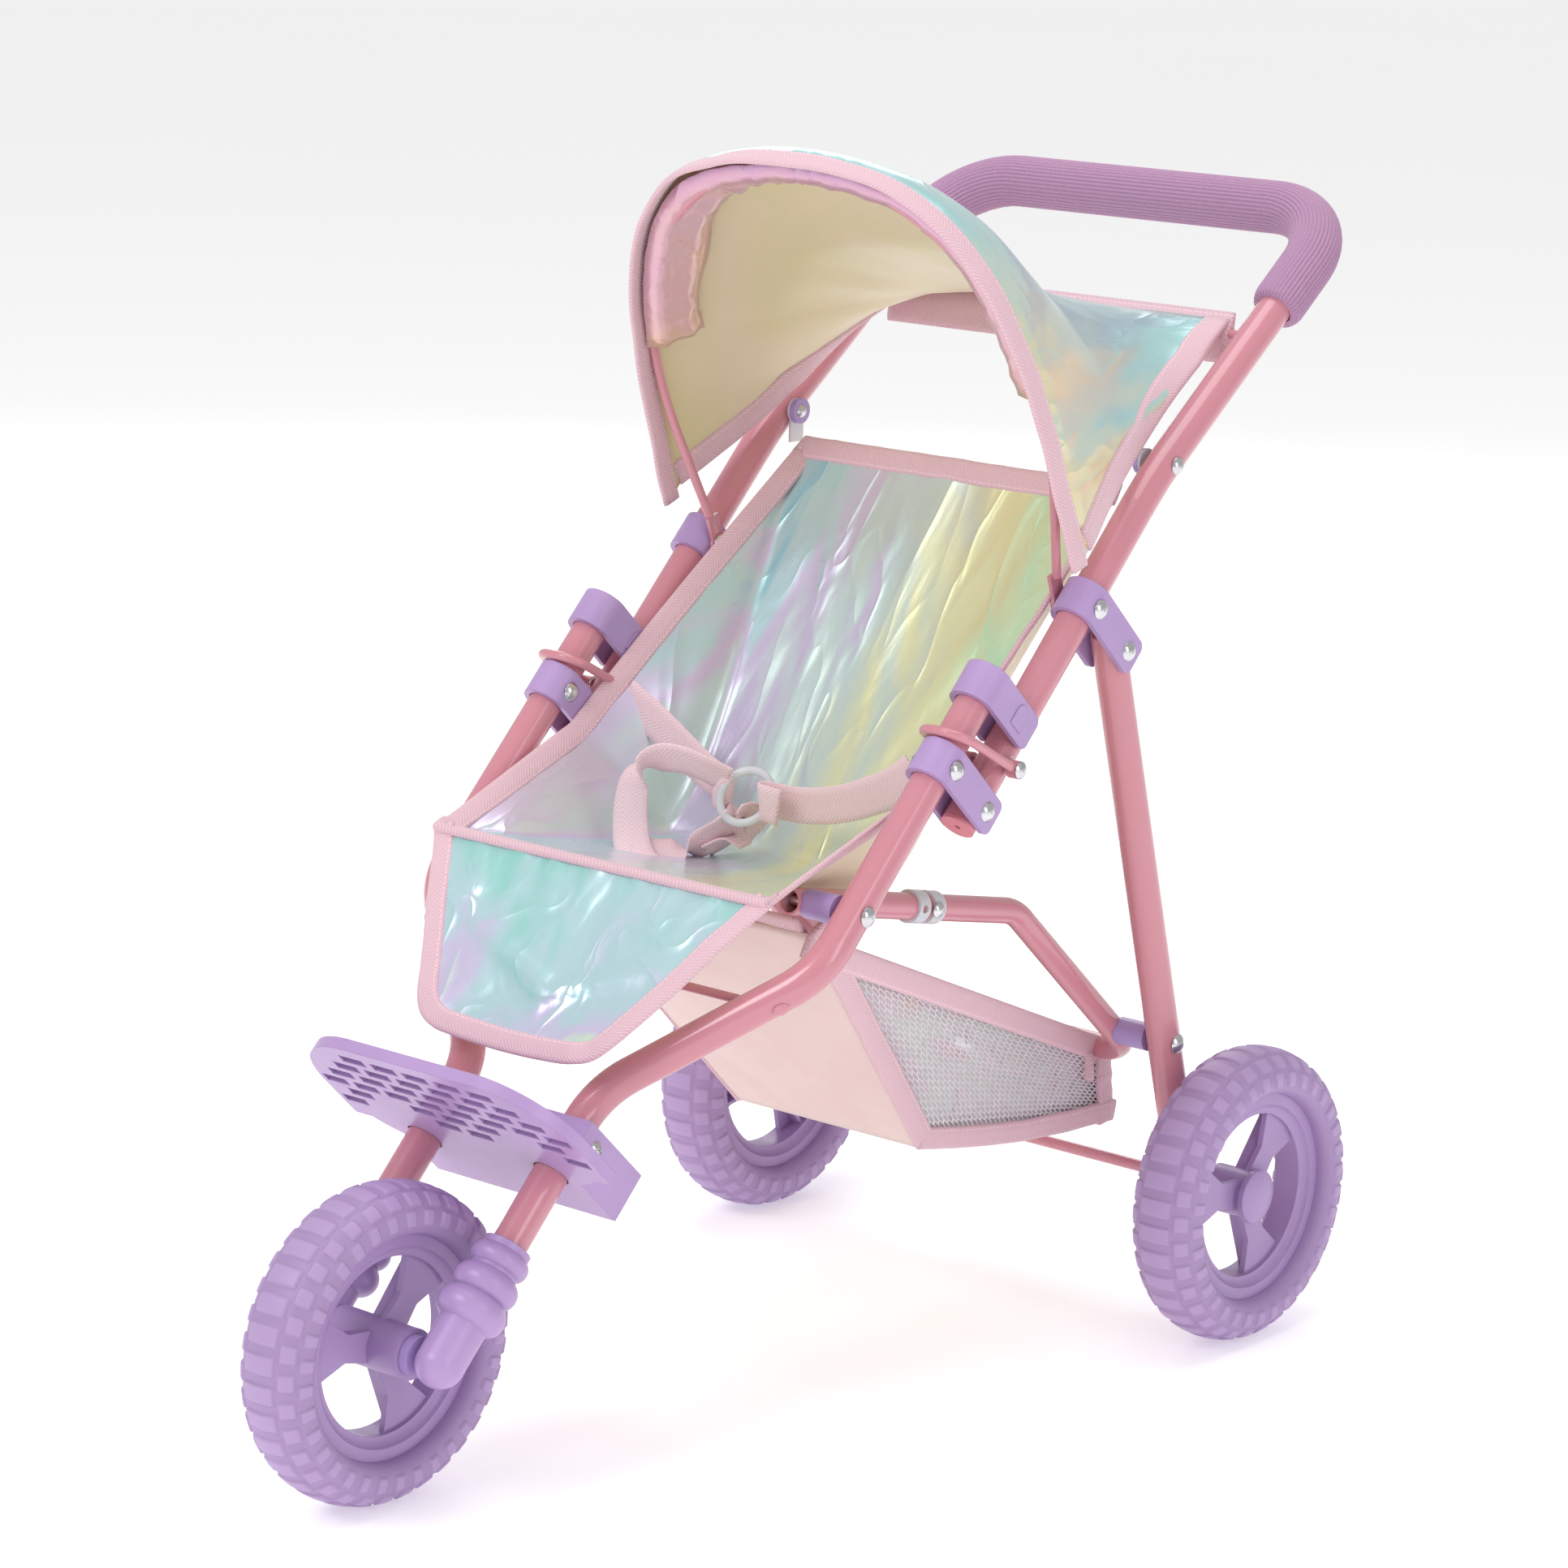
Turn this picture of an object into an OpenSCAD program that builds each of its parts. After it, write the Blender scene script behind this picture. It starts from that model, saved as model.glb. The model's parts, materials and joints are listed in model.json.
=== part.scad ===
/* [Overall] */
// Distance from the front axle to the rear axle
wheelbase = 453.6; // [400:0.2:560]
// Distance between the middles of the two rear wheels
track = 312; // [290:1:380]
// Distance between the axes of the left and right side tubes
frame_w = 242; // [200:1:260]
// Slope of the front and lower handle tubes above the floor
rake = 45.5; // [40:0.5:50]

/* [Tubes] */
// Outside diameter of the front, handle and rear leg tubes
tube_d = 17; // [12:0.5:19]
// Outside diameter of the folding link tube
link_d = 13; // [10:0.5:15]
// Wall of every tube
tube_wall = 1.2; // [0.8:0.1:2]
// Distance between the fork tubes' axes at the front wheel
fork_w = 80; // [72:1:100]
// Distance between the link tube's two legs
link_w = 178; // [150:1:184]
// Centre-line radius of the bends in the front and handle tubes
bend_r = 42; // [34:1:55]

/* [Joints along the frame] */
// Height of the link's front pivot up the front tube from the front axle
link_pivot_s = 263.4; // [240:0.2:290]
// Height of the fold pivot up the front tube from the front axle
fold_pivot_s = 346.5; // [320:0.5:380]
// Height of the rear legs' pivot, measured the same way
leg_pivot_s = 465.1; // [440:0.1:520]
// Distance between the two rivets of every bracket
bracket_pitch = 33.5; // [29:0.5:42]
// Distance from a rear leg's top pivot to the link's rear pivot
leg_to_link = 216.5; // [190:0.5:240]

/* [Handle] */
// Length of the lower handle tube from the fold pivot to its bend
handle_lower = 196.4; // [160:0.2:230]
// Length from that bend to the cross grip
handle_upper = 193.5; // [150:0.5:240]
// Slope of the upper handle above the floor
handle_slope = 37.3; // [30:0.1:44]
// Outside diameter of the foam grip
grip_d = 26.8; // [22:0.2:32]
// Length of foam on each side arm, from the end of the corner bend
grip_arm = 36; // [20:1:60]

/* [Wheels] */
// Diameter of all the wheels
wheel_d = 150; // [130:1:170]
// Width of the tyres
tyre_w = 37; // [28:0.5:40]
// Diameter where the tyre meets the rim
rim_d = 105.6; // [90:0.2:120]
// Width of the rim
rim_w = 21; // [16:0.5:28]
// Outside diameter of the wheel hubs
hub_d = 24; // [18:0.5:30]
// Diameter of the front and rear axles
axle_d = 6; // [5:0.5:8]
// Diameter of the rear wheels' round hub caps
cap_d = 27; // [20:0.5:34]

/* [Brackets and rivets] */
// Height of each plastic bracket along its tube
bracket_h = 18.5; // [14:0.5:24]
// Wall of the plastic brackets
bracket_wall = 3; // [2:0.1:4]
// Diameter of the rivet shanks
rivet_d = 5; // [4:0.5:6]
// Diameter of the domed rivet heads
rivet_head_d = 10; // [8:0.5:12]
// Thickness of the wire of the lock rings
ring_wire = 4.6; // [3:0.2:6]

/* [Footrest] */
// Height of the footrest up the fork tubes from the front axle
footrest_s = 101.5; // [90:0.5:125]
// Width of the footrest plate
footrest_w = 162; // [130:1:190]
// How far the plate stands out in front of the tubes
footrest_reach = 76; // [50:1:95]
// Thickness of the plate
footrest_t = 6; // [4:0.5:9]

/* [Canopy] */
// Height of the canopy bow above its pivot
bow_h = 216; // [180:1:250]
// Half the greatest width of the bow
bow_half = 121; // [105:1:130]
// Angle of the open bow, from straight back
bow_angle = 110; // [100:1:120]
// Distance from the handle bend up to the canopy's rear rod
rear_rod_s = 101; // [80:1:125]
// Thickness of the bow wire, rear rod and cross rod
wire_d = 4.6; // [3:0.1:6]

/* [Soft goods] */
// Thickness of the cloth solids
cloth = 2.4; // [1.5:0.1:4]
// Half the width of the seat at its side edges
seat_half = 99; // [85:1:100]
// Half the width of the seat along its bottom
seat_bottom_half = 76; // [60:1:77]
// Depth of the basket below the link pivots
basket_depth = 142; // [90:1:160]

/* [Hidden] */
$fn = 48;
EPS = 0.01;
// Radial clearance of a turning fit
RUN = 0.05;
// Gap between parts that pass each other
GAP = 0.5;
// Side play of a tube between a bracket's cheeks
PLAY = 0.3;
// A bend is this much fuller than the straights that run a little way into it
SEAM = 0.03;
LAP = 0.4;

wheel_r = wheel_d / 2;
tube_r = tube_d / 2;
link_r = link_d / 2;
side_x = frame_w / 2;
fork_x = fork_w / 2;
link_x = link_w / 2;
rivet_r = rivet_d / 2;
axle_r = axle_d / 2;

// The origin lies on the floor below the middle of the stroller's length
rear_reach = grip_back_from_rear_axle();
front_axle_y = -(wheelbase + wheel_r + rear_reach) / 2 + wheel_r;
rear_axle_y = front_axle_y + wheelbase;

// A point in the side plane, s up the raked front tubes and n square out of their front
function raked(s, n) = [front_axle_y + s * cos(rake) - n * sin(rake),
    wheel_r + s * sin(rake) + n * cos(rake)];
// The same with the front axle at zero, used to work out the overall length
function raked_y(s, n) = s * cos(rake) - n * sin(rake);
function grip_back_from_rear_axle() = max(wheel_r,
    raked_y(fold_pivot_s + handle_lower, -bracket_pitch) + handle_upper * cos(handle_slope)
    + grip_d / 2 - wheelbase);

function unit(v) = v / norm(v);
// A side-plane point [y, z] at sideways position x
function at_x(x, p) = [x, p[0], p[1]];
function mix(a, b, t) = a + (b - a) * t;
function along(a, b, d) = a + unit(b - a) * d;

link_pivot = raked(link_pivot_s, 0);
bracket_pin = raked(fold_pivot_s, 0);
fold_pivot = raked(fold_pivot_s, -bracket_pitch);
handle_pin = raked(leg_pivot_s, -bracket_pitch);
leg_pivot = raked(leg_pivot_s, -2 * bracket_pitch);
rear_axle_at = [rear_axle_y, wheel_r];
link_rear = along(leg_pivot, rear_axle_at, leg_to_link);
handle_bend = raked(fold_pivot_s + handle_lower, -bracket_pitch);
grip_at = handle_bend + handle_upper * [cos(handle_slope), sin(handle_slope)];
rear_rod_at = along(handle_bend, grip_at, rear_rod_s);
hanger_at = along(handle_bend, grip_at, 10);

// Tubes along the rake, from the front axle: the bends of the S and the top end
lower_bend_s = 146;
upper_bend_s = 230;
hood_s = fold_pivot_s + 44.5;
front_tube_end_s = hood_s + bracket_h / 2 - bracket_wall - GAP;
ring_pivot_s = fold_pivot_s + 25;

// The link tube: a gently falling front part, a steeper rear part and a cross bar
link_bend = link_pivot + 166 * [cos(12), -sin(12)];
link_cross = along(link_bend, link_rear, norm(link_rear - link_bend) + 26);
clip_at = along(link_pivot, link_bend, 95);

// Soft goods corners in the side plane
seat_lip = raked(240, 35);
seat_mid = raked(330, -9);
seat_top = along(handle_bend, grip_at, 2) + [-6, -8];
seat_crease = clip_at + [0, 4];
calf_foot = raked(148, 29);
bow_top = handle_pin + bow_h * [cos(bow_angle), sin(bow_angle)];

// ---------- helpers ----------

// Puts children at a side-plane point, turned so that their X axis stays sideways
module at(p, x = 0) { translate([x, p[0], p[1]]) children(); }

// Frame of the raked tubes: X sideways, Y up along the tube, Z out of its front
module on_rake(s = 0, n = 0, x = 0) {
    p = raked(s, n);
    translate([x, p[0], p[1]]) rotate([rake, 0, 0]) children();
}

// A round bar along X, centred on x = 0
module bar_x(d, len) { rotate([0, 90, 0]) cylinder(d = d, h = len, center = true); }

// A straight round bar between two points
module bar(a, b, r) {
    v = b - a;
    len = norm(v);
    translate(a) rotate([0, acos(v[2] / len), atan2(v[1], v[0])]) cylinder(r = r, h = len);
}

// The round bend at corner b of a path a, b, c
module bend(a, b, c, big, r) {
    d1 = unit(b - a);
    d2 = unit(c - b);
    turn = acos(d1 * d2);
    z = unit(cross(d1, d2));
    mid = b + unit(d2 - d1) * big / cos(turn / 2);
    x = unit(b - d1 * big * tan(turn / 2) - mid);
    y = cross(z, x);
    multmatrix([[x[0], y[0], z[0], mid[0]], [x[1], y[1], z[1], mid[1]],
                [x[2], y[2], z[2], mid[2]], [0, 0, 0, 1]])
        rotate_extrude(angle = turn) translate([big, 0]) circle(r = r + SEAM);
}

function bend_cut(a, b, c, big) = big * tan(acos(unit(b - a) * unit(c - b)) / 2);

// A round rod through the points, with a bend of its own radius at each inner point
module rod(points, bends, r) {
    last = len(points) - 1;
    cut = [for (i = [0:last]) i == 0 || i == last ? 0
        : bend_cut(points[i - 1], points[i], points[i + 1], bends[i - 1])];
    for (i = [0:last - 1])
        bar(along(points[i], points[i + 1], cut[i] == 0 ? 0 : cut[i] - LAP),
            along(points[i + 1], points[i], cut[i + 1] == 0 ? 0 : cut[i + 1] - LAP), r);
    for (i = [1:1:last - 1]) bend(points[i - 1], points[i], points[i + 1], bends[i - 1], r);
}

// The same as a tube, open at both ends
module tube(points, bends, r) {
    last = len(points) - 1;
    open = [for (i = [0:last]) i == 0 ? along(points[0], points[1], -1)
        : i == last ? along(points[last], points[last - 1], -1) : points[i]];
    difference() {
        rod(points, bends, r);
        rod(open, bends, r - tube_wall);
    }
}

// A shank along X with a domed head at each end, reach is the half length under the heads
module rivet(reach, head = rivet_head_d) {
    bar_x(rivet_d, 2 * reach + EPS);
    for (m = [0, 1]) mirror([m, 0, 0]) translate([reach, 0, 0]) rotate([0, 90, 0]) dome(head, 2.6);
}

// A low dome of base diameter d and height h, on Z = 0
module dome(d, h) {
    big = (d * d / 4 + h * h) / (2 * h);
    rotate_extrude() intersection() {
        translate([0, h - big]) circle(r = big, $fn = 96);
        square([d, h]);
    }
}

module both_sides() { for (m = [0, 1]) mirror([m, 0, 0]) children(); }

// A flat sheet corner to corner, as thick as the cloth
module sheet(points) { hull() for (p = points) translate(p) sphere(d = cloth, $fn = 8); }

// ---------- front frame ----------

function front_tube_points(x) = [for (q = [[fork_x, 12], [fork_x, lower_bend_s],
    [side_x, upper_bend_s], [side_x, front_tube_end_s]]) at_x(x * q[0], raked(q[1], 0))];

module front_tube(m) {
    color("#e8969c") difference() {
        tube(front_tube_points(m), [bend_r, bend_r], tube_r);
        for (s = [link_pivot_s, fold_pivot_s]) on_rake(s, 0, m * side_x) bar_x(rivet_d, tube_d + 2);
        on_rake(lower_bend_s + 62, 0, m * cross_rod_x()) bar_x(wire_d, 3 * tube_d);
        on_rake(footrest_s + clamp_h / 2 + 8, 0, m * fork_x) bar_x(rivet_d, tube_d + 2);
    }
}
module front_tube_right() { front_tube(1); }
module front_tube_left() { front_tube(-1); }

cross_rod_s = lower_bend_s + 62;
function cross_rod_x() = mix(fork_x, side_x, (cross_rod_s - lower_bend_s) / (upper_bend_s - lower_bend_s));

// A U of plastic round the front of one tube, with cheeks running back past the second one
module bracket(back) {
    r = tube_r + PLAY;
    difference() {
        union() {
            rotate([90, 0, 0]) cylinder(r = r + bracket_wall, h = bracket_h, center = true);
            translate([-r - bracket_wall, -bracket_h / 2, -back])
                cube([2 * (r + bracket_wall), bracket_h, back]);
        }
        rotate([90, 0, 0]) cylinder(r = r, h = bracket_h + 2, center = true);
        translate([-r, -bracket_h / 2 - 1, -back - 1]) cube([2 * r, bracket_h + 2, back + 1]);
        for (e = [-1, 1]) translate([0, e * bracket_h / 2, -back]) rotate([0, 90, 0])
            corner_cut(4, e);
    }
}
// Rounds the rear corners of a bracket's cheeks
module corner_cut(r, e) {
    translate([0, 0, -tube_d]) linear_extrude(2 * tube_d) difference() {
        translate([-r, e > 0 ? -r : 0]) square([r + 1, r]);
        translate([-r, e * -r]) circle(r = r);
    }
}

bracket_back = bracket_pitch + 8;

module lower_bracket(m) {
    color("#c39ae0") on_rake(fold_pivot_s, 0, m * side_x) difference() {
        bracket(bracket_back);
        for (n = [0, -bracket_pitch]) translate([0, 0, n]) bar_x(rivet_d, 3 * tube_d);
    }
}
module lower_bracket_right() { lower_bracket(1); }
module lower_bracket_left() { lower_bracket(-1); }

module upper_hood(m) {
    color("#c39ae0") on_rake(hood_s, 0, m * side_x) {
        bracket(bracket_pitch + 1);
        translate([0, bracket_h / 2 - bracket_wall, 0]) rotate([-90, 0, 0])
            cylinder(r = tube_r + bracket_wall, h = bracket_wall);
        for (e = [-1, 1]) translate([e * (tube_r + bracket_wall), 0, -bracket_pitch * 0.6])
            rotate([0, e * 90, 0]) oval_pad();
    }
}
// The oval pad pressed into each cheek of the hood
module oval_pad() {
    linear_extrude(0.8) union() {
        translate([0, 2.5]) circle(d = 9);
        translate([-4.5, -5]) square([9, 7.5]);
    }
}
module upper_hood_right() { upper_hood(1); }
module upper_hood_left() { upper_hood(-1); }

rivet_reach = tube_r + PLAY + bracket_wall;
module lower_bracket_rivets() {
    color("silver") both_sides() on_rake(fold_pivot_s, 0, side_x) rivet(rivet_reach);
}
module fold_pivot_rivets() {
    color("silver") both_sides() on_rake(fold_pivot_s, -bracket_pitch, side_x) rivet(rivet_reach);
}

// The front link rivet goes through the front tube, the spacer and the link tube
module link_front_rivets() {
    color("silver") both_sides() {
        far = side_x + tube_r;
        near = link_x - link_r;
        on_rake(link_pivot_s, 0, (far + near) / 2) rivet((far - near) / 2);
    }
}

module front_cross_rod() {
    color("#e08a94") on_rake(cross_rod_s) bar_x(wire_d, 2 * cross_rod_x() + 4);
}

// ---------- footrest ----------

footrest_back = 36;
clamp_half = fork_x + tube_r + 8;
clamp_h = 17;

module footrest() {
    color("#c39ae0") on_rake(footrest_s) difference() {
        union() {
            translate([0, footrest_t / 2, 0]) rotate([90, 0, 0])
                linear_extrude(footrest_t, center = true) plate_outline();
            footrest_clamp();
        }
        for (e = [-1, 1]) translate([e * fork_x, 0, 0]) rotate([-90, 0, 0])
            cylinder(r = tube_r + 2 * PLAY, h = 4 * clamp_h, center = true);
        translate([0, clamp_h / 2 + 8, 0]) bar_x(rivet_d, 3 * fork_w);
        translate([0, 0, footrest_reach / 2 + 10]) pockets();
    }
}
// The outline seen along the tubes: straight behind, well rounded in front
module plate_outline() {
    r = footrest_reach * 0.55;
    half = footrest_w / 2;
    union() {
        for (e = [-1, 1]) translate([e * (half - r), footrest_reach - r]) circle(r = r);
        translate([-half + r, 0]) square([footrest_w - 2 * r, footrest_reach]);
        translate([-half, 6]) square([footrest_w, footrest_reach - r - 6]);
    }
}
module footrest_clamp() {
    difference() {
        translate([-clamp_half, 0, -footrest_back]) cube([2 * clamp_half, clamp_h + 8, footrest_back + 12]);
        translate([-fork_x + tube_r + 3, footrest_t, -footrest_back + 3])
            cube([fork_w - tube_d - 6, clamp_h + 10, footrest_back + 20]);
        for (e = [-1, 1]) translate([e * (fork_x + 3), footrest_t, -footrest_back + 3])
            translate([-tube_r, 0, 0]) cube([tube_d - 3, clamp_h + 10, footrest_back - tube_r - 5]);
    }
}
// Brick pockets in the underside of the plate
module pockets() {
    pitch_x = 20;
    pitch_z = 9;
    for (row = [-3:3], col = [-4:4]) {
        x = col * pitch_x + (row % 2 == 0 ? 0 : pitch_x / 2);
        if (footrest_reach / 2 + 10 + (row + 0.5) * pitch_z < footrest_reach - 5 &&
            abs(x) < footrest_w / 2 - 10 - max(0, row) * 6 && abs(abs(x) - fork_x) + (row > -2 ? 20 : 0) > 15)
            translate([x, 1, row * pitch_z]) cube([pitch_x - 5, 5, pitch_z - 3.5], center = true);
    }
}

module footrest_screws() {
    color("silver") both_sides() on_rake(footrest_s + clamp_h / 2 + 8, 0, clamp_half) {
        translate([-14, 0, 0]) bar_x(rivet_d - 0.4, 28);
        rotate([0, 90, 0]) difference() {
            dome(9, 2.4);
            for (a = [0, 90]) rotate([0, 0, a]) translate([0, 0, 2.2]) cube([5, 1.1, 2], center = true);
        }
    }
}

// ---------- fork and front wheel ----------

hub_half = 23;
fork_plate = fork_x - tube_r - 1;

module fork_end(m) {
    color("#c39ae0") on_rake(0, 0, m * fork_x) difference() {
        union() {
            rotate([-90, 0, 0]) rotate_extrude() fork_profile();
            sphere(r = tube_r + 3, $fn = 48);
        }
        translate([0, 12, 0]) rotate([-90, 0, 0]) cylinder(r = tube_r, h = 90);
        translate([-m * 12.5, 0, 0]) bar_x(axle_d, 35);
    }
}
// Half section of the sleeve: a plain foot, then three swelling rings
module fork_profile() {
    r = tube_r + 3;
    square([r, 62]);
    for (k = [[28, 5.2], [41, 4.2], [54, 2.6]]) translate([r - 3, k[0]]) circle(r = k[1] + 3);
}
module fork_end_right() { fork_end(1); }
module fork_end_left() { fork_end(-1); }

module front_axle() {
    color("silver") at(raked(0, 0)) bar_x(axle_d, fork_w + 8);
}
module front_hub_spacers() {
    reach = fork_x - tube_r - 3.3;
    color("#b98ad8") both_sides() at(raked(0, 0), (hub_half + GAP / 2 + reach) / 2) difference() {
        bar_x(hub_d - 5, reach - hub_half - GAP / 2);
        bar_x(axle_d, 40);
    }
}

rim_r = rim_d / 2;
module wheel_on(p, x = 0) { at(p, x) rotate([0, 90, 0]) children(); }

// Rim, three spokes and hub round the Z axis. The outer face is towards +Z
module rim(hub_front, hub_back) {
    difference() {
        union() {
            rotate_extrude() rim_section();
            for (k = [0:2]) rotate([0, 0, 120 * k + spoke_turn]) spoke();
            translate([0, 0, -hub_back]) cylinder(d = hub_d, h = hub_back + hub_front);
        }
        cylinder(r = axle_r + RUN, h = 200, center = true);
    }
}
spoke_turn = 20;
lip = 11;
module rim_section() {
    half = rim_w / 2;
    difference() {
        translate([rim_r - lip, -half]) square([lip, rim_w]);
        for (e = [-1, 1]) translate([rim_r - lip, e * (half + 2)]) circle(r = 5.5);
    }
}
// One spoke: a web that widens to the rim, ribbed behind
module spoke() {
    reach = rim_r - lip + 2;
    root = hub_d * 0.34;
    translate([0, 0, 2]) linear_extrude(3)
        polygon([[0, -root], [0, root], [reach * 0.55, root * 0.8], [reach, root * 2.1],
                 [reach, -root * 2.1], [reach * 0.55, -root * 0.8]]);
    for (e = [-1, 1]) translate([0, e * root * 0.55 - 1, -5]) cube([reach, 2, 8]);
}
// The solid tyre
module tyre() {
    half = tyre_w / 2;
    flat = 4;
    shoulder = half - 3;
    rotate_extrude() difference() {
        union() {
            translate([wheel_r - flat - shoulder, 0]) scale_circle(half, shoulder + flat);
            translate([rim_r + EPS, -rim_w / 2 - 2]) square([lip, rim_w + 4]);
        }
        translate([0, -wheel_r]) square([rim_r, 2 * wheel_r]);
    }
}
// A crowned tyre section made of three arcs
module scale_circle(half, tall) {
    corner = 12;
    for (e = [-1, 1]) translate([tall - corner, e * (half - corner)]) circle(r = corner);
    translate([-10, -half]) square([tall - corner + 10, 2 * half]);
    translate([0, -half + corner]) square([tall, 2 * (half - corner)]);
}

module front_rim() { color("#c9a6e6") wheel_on(raked(0, 0)) rim(hub_half, hub_half); }
module front_tyre() { color("#b493d3") wheel_on(raked(0, 0)) tyre(); }

// ---------- handle ----------

function handle_points() = let(a = at_x(side_x, along(fold_pivot, handle_bend, -9)),
    b = at_x(side_x, handle_bend), c = at_x(side_x, grip_at))
    [a, b, c, [-c[0], c[1], c[2]], [-b[0], b[1], b[2]], [-a[0], a[1], a[2]]];
handle_bend_r = 250;
handle_bends = [handle_bend_r, bend_r - 2, bend_r - 2, handle_bend_r];

module handle_tube() {
    color("#e8969c") difference() {
        tube(handle_points(), handle_bends, tube_r);
        at(fold_pivot) bar_x(rivet_d + 2 * RUN, frame_w + 40);
        at(handle_pin) bar_x(rivet_d, frame_w + 40);
        on_rake(ring_pivot_s, -bracket_pitch) bar_x(rivet_d - 1, frame_w + 40);
        at(hanger_at) bar_x(rivet_d - 1, frame_w + 40);
        at(rear_rod_at) bar_x(wire_d, frame_w - 4);
    }
}
// The ribbed foam grip over the cross bar, both bends and part of each arm
module handle_grip() {
    c = at_x(side_x, grip_at);
    b = at_x(side_x, handle_bend);
    arm = bend_r - 2 + grip_arm;
    path = [along(c, b, arm), c, [-c[0], c[1], c[2]], along([-c[0], c[1], c[2]], [-b[0], b[1], b[2]], arm)];
    bends = [bend_r - 2, bend_r - 2];
    open = [along(path[0], path[1], -1), path[1], path[2], along(path[3], path[2], -1)];
    color("#b58ac4") difference() {
        rod(path, bends, grip_d / 2);
        rod(open, bends, tube_r);
    }
}
// Moulded plugs that close the handle tube's lower ends
module handle_end_plugs() {
    color("#d98a90") both_sides() on_rake(fold_pivot_s - 9, -bracket_pitch, side_x)
        rotate([90, 0, 0]) difference() {
            union() {
                cylinder(r = tube_r, h = 2);
                translate([0, 0, -4]) cylinder(r = tube_r - tube_wall, h = 5);
            }
            translate([0, 0, -6]) cylinder(d = 3, h = 12);
        }
}

module leg_bracket(m) {
    color("#c39ae0") on_rake(leg_pivot_s, -bracket_pitch, m * side_x) difference() {
        bracket(bracket_back);
        for (n = [0, -bracket_pitch]) translate([0, 0, n]) bar_x(rivet_d, 3 * tube_d);
    }
}
module leg_bracket_right() { leg_bracket(1); }
module leg_bracket_left() { leg_bracket(-1); }

// This rivet also carries the canopy bow's flattened end on the inner side
bow_tab = 2;
module leg_bracket_rivets() {
    color("silver") both_sides() on_rake(leg_pivot_s, -bracket_pitch, side_x - (bow_tab + GAP) / 2)
        rivet(rivet_reach + (bow_tab + GAP) / 2);
}
module leg_pivot_rivets() {
    color("silver") both_sides() on_rake(leg_pivot_s, -2 * bracket_pitch, side_x) rivet(rivet_reach);
}

module canopy_rear_rod() {
    color("#e08a94") at(rear_rod_at) bar_x(wire_d, frame_w - tube_d + 2 * tube_wall);
}

hanger_x = side_x - tube_r;
// Clear straps that hang the seat's top corners from the handle tube
module seat_hanger_tabs() {
    color("white") both_sides() at(hanger_at, hanger_x - 1) rotate([0, -90, 0]) difference() {
        union() {
            cylinder(r = 6.5, h = 1.2);
            translate([-16, -5, 0]) cube([16, 10, 1.2]);
        }
        translate([0, 0, -1]) cylinder(d = rivet_d - 1, h = 4);
    }
}
module hanger_washers() {
    color("#b98ad8") both_sides() at(hanger_at, hanger_x - 2.2) rotate([0, -90, 0]) difference() {
        cylinder(d = 13, h = 3);
        translate([0, 0, -1]) cylinder(d = rivet_d - 1, h = 6);
    }
}
// A screw from inside, with its nut's dome on the outer face of the tube
module hanger_screws() {
    color("silver") both_sides() at(hanger_at, side_x) {
        translate([-(tube_d + 5.2) / 2 + tube_r, 0, 0]) bar_x(rivet_d - 1, tube_d + 5.2);
        translate([tube_r, 0, 0]) rotate([0, 90, 0]) dome(9, 2.6);
        translate([-tube_r - 5.2, 0, 0]) rotate([0, -90, 0]) dome(7, 2);
    }
}

// ---------- lock rings ----------

ring_half = tube_r + 5.4;
ring_reach = bracket_pitch + tube_r + 1.4 + ring_wire / 2;
ring_front_s = fold_pivot_s + bracket_h / 2 + ring_wire / 2 + 0.6;

module ring_pivot_rivets() {
    color("silver") both_sides() on_rake(ring_pivot_s, -bracket_pitch, side_x) {
        bar_x(rivet_d - 1, 2 * ring_half + ring_wire + 1.6);
        for (m = [0, 1]) mirror([m, 0, 0]) translate([ring_half + ring_wire / 2 + 0.8, 0, 0])
            rotate([0, 90, 0]) dome(8.5, 1.8);
    }
}
// A wire bail: an eye on each side of the handle tube, arms and a round front
module lock_ring(m) {
    color("#e08a94") on_rake(ring_pivot_s, -bracket_pitch, m * side_x)
        rotate([atan2(ring_pivot_s - ring_front_s, ring_reach), 0, 0]) {
            len = norm([ring_pivot_s - ring_front_s, ring_reach]);
            difference() {
                union() {
                    rod([[ring_half, 0, 3], [ring_half, 0, len], [-ring_half, 0, len], [-ring_half, 0, 3]],
                        [ring_half - 2, ring_half - 2], ring_wire / 2);
                    for (e = [-1, 1]) translate([e * ring_half, 0, 0]) bar_x(ring_wire + 4, ring_wire + 0.8);
                }
                bar_x(rivet_d - 1 + 2 * RUN, 4 * ring_half);
            }
        }
}
module lock_ring_right() { lock_ring(1); }
module lock_ring_left() { lock_ring(-1); }

// ---------- canopy bow ----------

bow_pivot_x = side_x - rivet_reach - bow_tab - GAP / 2;
module canopy_bow() {
    shoulder = bow_h - bow_half;
    color("#e08a94") at(handle_pin) rotate([bow_angle - 90, 0, 0]) difference() {
        union() {
            rod([[bow_pivot_x, 0, 0], [bow_half, 0, shoulder * 0.8], [bow_half, 0, bow_h],
                 [-bow_half, 0, bow_h], [-bow_half, 0, shoulder * 0.8], [-bow_pivot_x, 0, 0]],
                [160, bow_half - 1, bow_half - 1, 160], wire_d / 2);
            both_sides() translate([bow_pivot_x, 0, 0]) {
                translate([bow_tab / 2, 0, 0]) bar_x(11, bow_tab);
                translate([0, -4, 0]) cube([bow_tab, 8, 16]);
            }
        }
        bar_x(rivet_d + 2 * RUN, frame_w);
        both_sides() translate([bow_pivot_x + bow_tab, -20, -20]) cube([20, 40, 34]);
        both_sides() translate([bow_pivot_x - 20, -20, -20]) cube([20, 40, 27]);
    }
}

// ---------- rear legs and wheels ----------

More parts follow.
